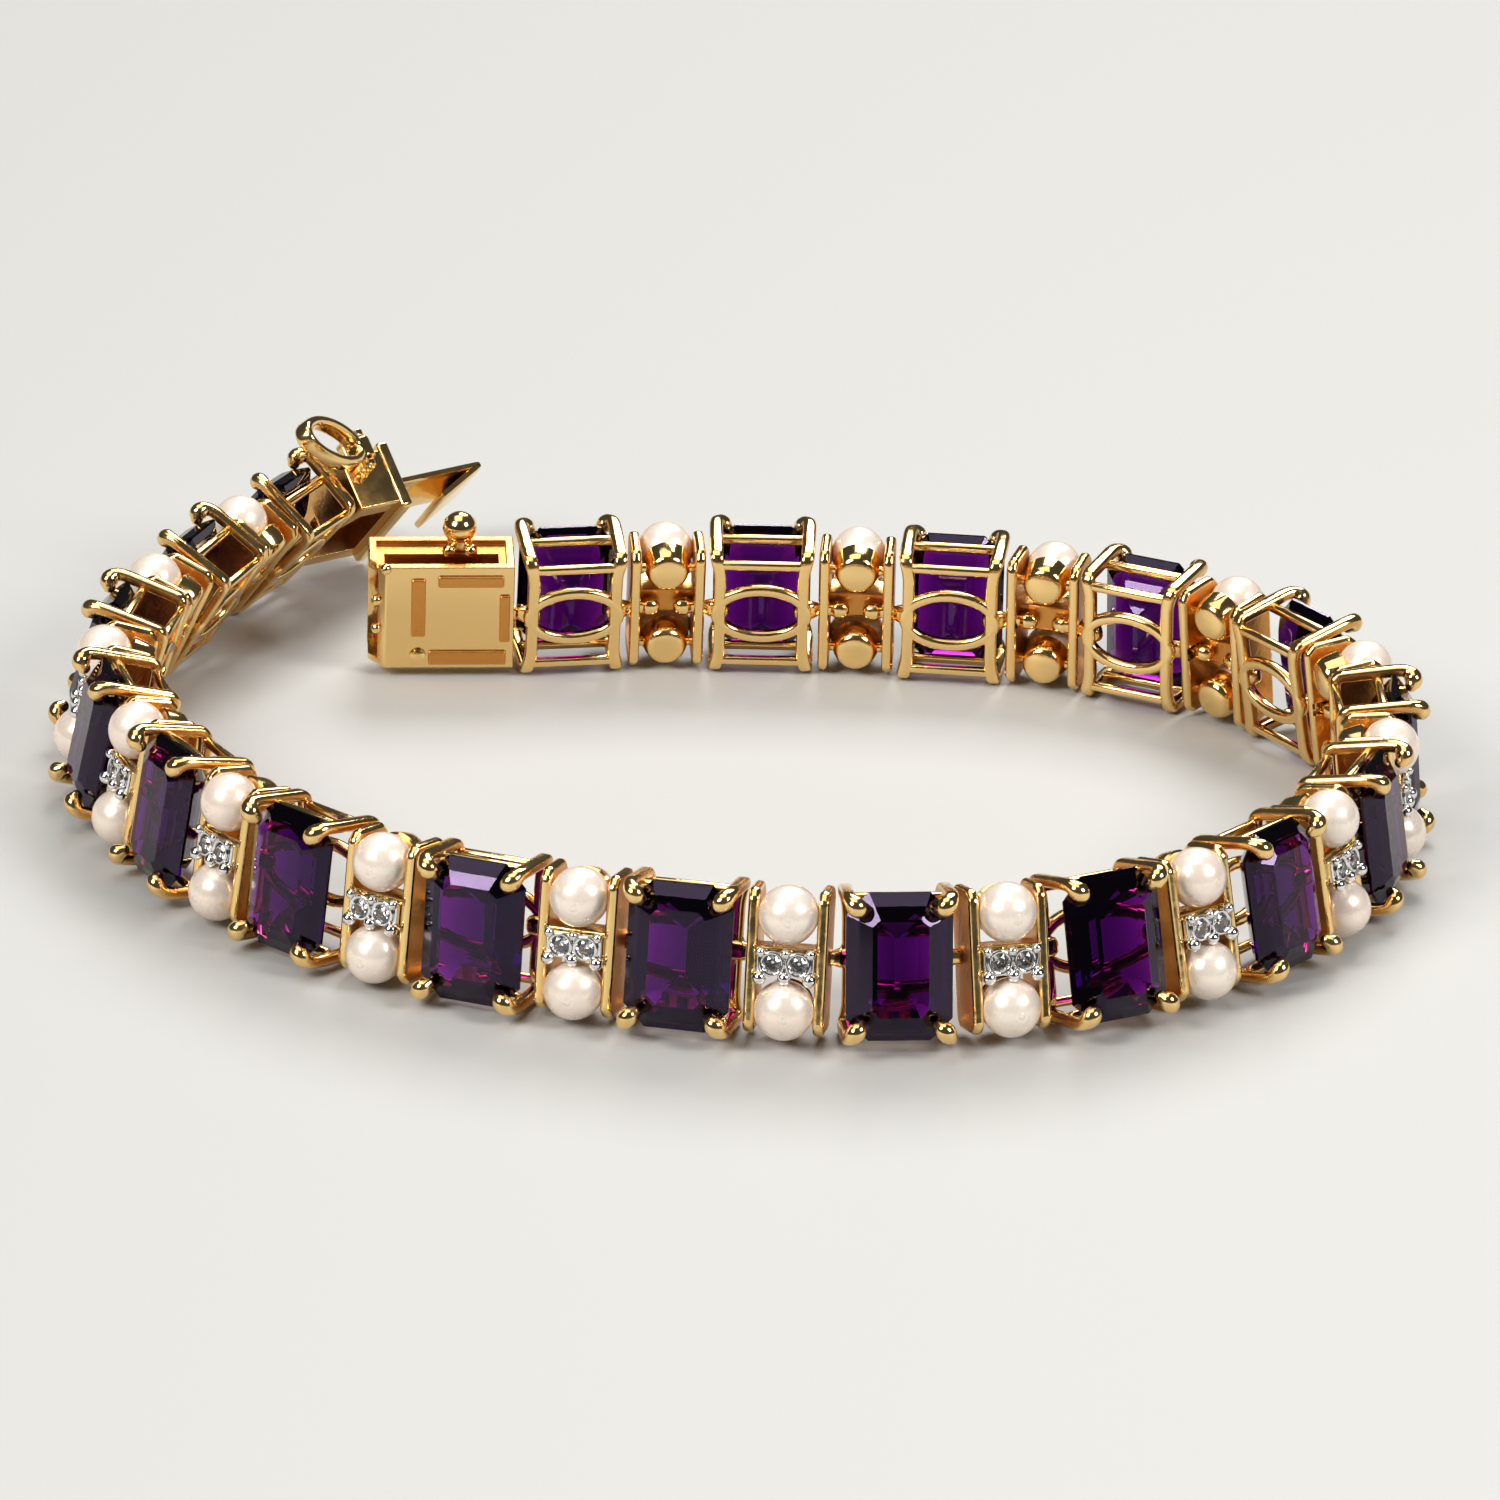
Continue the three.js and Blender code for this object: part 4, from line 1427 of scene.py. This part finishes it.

# %% [markdown]
# ## The clasp box
#
# The box is a flat case open at its mouth. Its upper side is sunk a little inside a rim, and a long slot in the
# sunken floor takes the tongue's release. Beside the slot stands a peg with a ball, which the safety catch snaps
# over, and two little balls stand against the peg's foot. The side that lies on the wrist carries plain raised
# bars round a bare field, and the bars are painted darker, as shade, so that they stand out from the flat side's
# reflection. The rim is rougher than the sides and painted darker, which dims its reflection of the light above,
# so it shines more softly than the sides.

# %% Clasp box sizes
BOX_END = -0.15
BOX_MOUTH = -7.55
BOX_DEPTH = 3.0
BOX_WALL = 0.4
BOX_CHAMFER = 0.85
RIM_DROP = 0.25
# The release slot: its ends from the mouth, its sides outward, and how low it is cut.
RELEASE_ALONG = (0.8, 6.6)
RELEASE_DEPTH = (0.7, 1.7)
RELEASE_FLOOR = 2.0
PEG_SEAT = (-2.9, 2.35, 2.7)
PEG_PROFILE = (
    (0.62, 0.0),
    (0.64, 0.55),
    (0.56, 0.66),
    (0.56, 0.72),
    (0.76, 0.90),
    (0.88, 1.24),
    (0.80, 1.64),
    (0.56, 1.93),
    (0.25, 2.10),
    (0.04, 2.13),
)
KNOB_RADIUS = 0.3
KNOBS = (
    (BOX_MOUTH + 0.42, 0.42, 0.85),
    (BOX_MOUTH + 0.42, 0.42, -0.85),
    (BOX_MOUTH + 0.85, 0.05, BOX_HALF_HEIGHT - 0.1),
)
# The rim's share of the darker colour and roughness. This is painted shade that dims its reflection of the light
# above.
RIM_ROUGHNESS_AND_SHADE = 0.8
BAR_PROUD = 0.16
BAR_SUNK = 0.2
# Raised bars on the wrist side: low and high along, low and high up.
BARS = (
    (-5.40, -4.66, -1.08, 2.38),
    (-4.04, -0.68, 1.90, 2.56),
    (-4.50, -0.53, -2.78, -1.96),
    (-0.90, -0.36, -1.42, 1.40),
)
STUD = (-5.03, -0.05, -2.26)
STUD_PROFILE = ((0.42, 0.0), (0.40, 0.12), (0.28, 0.22), (0.04, 0.26))
FOOT_BALLS = ((-3.45, 1.72, 3.0, 0.36), (-2.35, 1.72, 3.0, 0.36))

# %% Clasp box
box_outline = [
    (BOX_MOUTH, BOX_CHAMFER),
    (BOX_MOUTH + BOX_CHAMFER, 0),
    (BOX_END, 0),
    (BOX_END, BOX_DEPTH),
    (BOX_MOUTH, BOX_DEPTH),
]
box_inside = block(
    (BOX_MOUTH - 1, BOX_WALL, -BOX_HALF_HEIGHT + BOX_WALL),
    (BOX_END - BOX_WALL, BOX_DEPTH - BOX_WALL, BOX_HALF_HEIGHT - BOX_WALL - 0.1),
)
sunken_top = block(
    (BOX_MOUTH + BOX_WALL, BOX_WALL, BOX_HALF_HEIGHT - RIM_DROP),
    (BOX_END - BOX_WALL, BOX_DEPTH - BOX_WALL, BOX_HALF_HEIGHT + 1),
)
release_slot = block(
    (BOX_MOUTH + RELEASE_ALONG[0], RELEASE_DEPTH[0], RELEASE_FLOOR),
    (BOX_MOUTH + RELEASE_ALONG[1], RELEASE_DEPTH[1], BOX_HALF_HEIGHT + 1),
)
box_lug_slot = block((BOX_END - 1, *SLOT_LOW), (BOX_END + 1, *SLOT_HIGH))
box_case = carved(
    "box_case",
    [prism(box_outline, 2, -BOX_HALF_HEIGHT, BOX_HALF_HEIGHT)],
    [box_inside, sunken_top, release_slot, box_lug_slot],
    bevel=0.09,
)

# %% Bars, peg and knobs
box_parts = [box_case]
for low_x, high_x, low_z, high_z in BARS:
    bar_shell = block((low_x, -BAR_PROUD, low_z), (high_x, BAR_SUNK, high_z))
    raised_bar = carved("raised_bar", [bar_shell], bevel=0.12)
    # Each raised bar is painted darker all over, as shade, so that it stands out from the flat side's reflection.
    mark_cast_and_shade(raised_bar, (-9, -1, -4), (1, 1, 4))
    box_parts.append(raised_bar)
round_details = [turned(STUD_PROFILE, STUD, (0, -1, 0)), turned(PEG_PROFILE, PEG_SEAT, (0, 0, 1))]
round_details += [bead(knob, KNOB_RADIUS) for knob in KNOBS]
round_details += [bead(ball[:3], ball[3]) for ball in FOOT_BALLS]
box_parts.append(smoothed(mesh_from("round_details", round_details)))
box_mesh = joined_mesh("box_shell", box_parts)
# The inside of the box and its sunken top are painted darker as shade in the hollow.
mark_cast_and_shade(
    box_mesh,
    (BOX_MOUTH + 0.3, BOX_WALL - 0.05, -BOX_HALF_HEIGHT + 0.3),
    (BOX_END - BOX_WALL + 0.05, BOX_DEPTH - BOX_WALL + 0.05, BOX_HALF_HEIGHT - RIM_DROP + 0.12),
)
# The rim's top is painted darker as shade, dimming its reflection of the light above.
mark_cast_and_shade(
    box_mesh,
    (BOX_MOUTH - 0.1, -0.1, BOX_HALF_HEIGHT - 0.04),
    (BOX_END + 0.1, BOX_DEPTH + 0.1, BOX_HALF_HEIGHT + 0.04),
    RIM_ROUGHNESS_AND_SHADE,
)
box_mesh.transform(box_frame)
piece("box_shell", box_mesh, gold, "bracelet", ["clasp_box"])

# %% [markdown]
# ## The tongue
#
# The tongue's body hangs on the last link and ends in a plate that closes the
# box's mouth. From the plate runs the spring: one strip of gold folded into a V,
# which closes as it slides into the box and snaps open behind the mouth.

# %% Tongue sizes
TONGUE_TOP = 3.2
BODY_LOW, BODY_HIGH = 0.25, 3.35
BODY_OUTLINE = (
    (0.3, -TONGUE_TOP),
    (4.0, -TONGUE_TOP),
    (4.0, TONGUE_TOP),
    (1.45, TONGUE_TOP),
    (0.3, 0.6),
)
HOLLOW_OUTLINE = ((0.55, -2.2), (3.35, -2.2), (3.35, 2.2), (1.7, 2.2), (0.55, 0.6))
END_PLATE_LOW = (3.72, -0.12, -TONGUE_TOP - 0.12)
END_PLATE_HIGH = (4.40, 3.72, TONGUE_TOP + 0.12)
TONGUE_FINISH = 0.55
SPRING_HALF_HEIGHT = 1.88
SPRING_HALF_THICKNESS = 0.2
SPRING_ROWS = ((4.2, 1.9), (10.12, 1.9), (7.2, 0.62))
EAR_HALF = 0.45
EAR_THICKNESS = 0.35
EAR_GAPS = (-1.05, 0.70)
EAR_ROOT = 2.4
EAR_STEPS = 8
PIN_RADIUS = 0.2
PIN_PROFILE = (
    (0.05, -1.13),
    (0.16, -1.12),
    (PIN_RADIUS, -1.05),
    (PIN_RADIUS, 1.05),
    (0.16, 1.12),
    (0.05, 1.13),
)

# %% Tongue
spring_shell = rod(
    [(x, y, 0, SPRING_HALF_HEIGHT, SPRING_HALF_THICKNESS, 7.0) for x, y in SPRING_ROWS],
    side=(0, 0, 1),
    radius=0.3,
)
tongue_slot = block((-1, *SLOT_LOW), (0.8, 1.5, SLOT_HIGH[1]))
ear_root = block(
    (PIN.x - EAR_HALF, 1.2, EAR_ROOT),
    (PIN.x + EAR_HALF, PIN.y - EAR_GAPS[0], TONGUE_TOP - 0.1),
)
tongue_parts = [
    carved(
        "tongue_body",
        [prism(BODY_OUTLINE, 1, BODY_LOW, BODY_HIGH)],
        [prism(HOLLOW_OUTLINE, 1, -1, 2.6), tongue_slot],
        bevel=0.12,
    ),
    carved("end_plate", [block(END_PLATE_LOW, END_PLATE_HIGH)], bevel=0.2),
    carved("ear_root", [ear_root], bevel=0.1),
]
ear_outline = [(PIN.x - EAR_HALF, EAR_ROOT), (PIN.x + EAR_HALF, EAR_ROOT)]
for step in range(EAR_STEPS + 1):
    angle = math.pi * step / EAR_STEPS
    ear_outline.append((PIN.x + EAR_HALF * math.cos(angle), PIN.z + EAR_HALF * math.sin(angle)))
for gap in EAR_GAPS:
    tongue_parts.append(
        carved("ear", [prism(ear_outline, 1, PIN.y + gap, PIN.y + gap + EAR_THICKNESS)], bevel=0.06)
    )
tongue_parts.append(smoothed(mesh_from("spring", [spring_shell, turned(PIN_PROFILE, PIN)])))
tongue_mesh = joined_mesh("tongue_shell", tongue_parts)
# The tongue's body, short of its end plate, takes a little over half of the darker, redder cast colour.
mark_cast_and_shade(tongue_mesh, (0, 0, -3.3), (3.7, 3.6, 3.25), TONGUE_FINISH)
tongue_mesh.transform(tongue_frame)
piece("tongue_shell", tongue_mesh, gold, "bracelet", ["clasp_tongue"])

# %% [markdown]
# ## The safety catch
#
# The safety catch is one loop of wire, flattened a little, on a knuckle that turns
# on the tongue's pin. Here it stands flipped open. It is the only piece that moves
# on a joint of its own, so it rides on its own body, and it is drawn about its pin
# and then swung to where the frame holds it at rest.

# %% Safety catch
CATCH_OPEN = math.radians(145)
LOOP_MIDDLE_ALONG = 3.37
LOOP_REACH = 2.73
LOOP_HALF_WIDTH = 1.13
LOOP_WIRE = (0.48, 0.27)
LOOP_STEPS = 48
KNUCKLE_RADIUS = 0.51
KNUCKLE_WIRE = (0.54, 0.11)
KNUCKLE_STEPS = 20

loop_rows = []
for step in range(LOOP_STEPS):
    angle = 2 * math.pi * step / LOOP_STEPS
    x = LOOP_MIDDLE_ALONG + LOOP_REACH * math.cos(angle)
    loop_rows.append((x, LOOP_HALF_WIDTH * math.sin(angle), 0, *LOOP_WIRE, 3.2))
knuckle_rows = []
for step in range(KNUCKLE_STEPS):
    angle = 2 * math.pi * step / KNUCKLE_STEPS
    x, z = KNUCKLE_RADIUS * math.cos(angle), KNUCKLE_RADIUS * math.sin(angle)
    knuckle_rows.append((x, 0, z, *KNUCKLE_WIRE, 8.0))
catch_shells = [
    rod(loop_rows, (0, 0, 1), 0, closed=True),
    rod(knuckle_rows, (0, 1, 0), 0, closed=True),
]
catch_mesh = smoothed(mesh_from("catch_loop", catch_shells))
catch_mesh.transform(tongue_frame @ Matrix.Translation(PIN) @ Matrix.Rotation(-CATCH_OPEN, 4, "Y"))
piece("catch_loop", catch_mesh, gold, "safety_catch", ["safety_catch"])

# %% [markdown]
# ## Measuring
#
# The finished pieces have to fill the same space as the CAD model. The CAD model's box, measured when it was
# loaded, is written down here.

# %% Measure
print("CAD size:", [round(v * 1000, 2) for v in cad_high - cad_low])
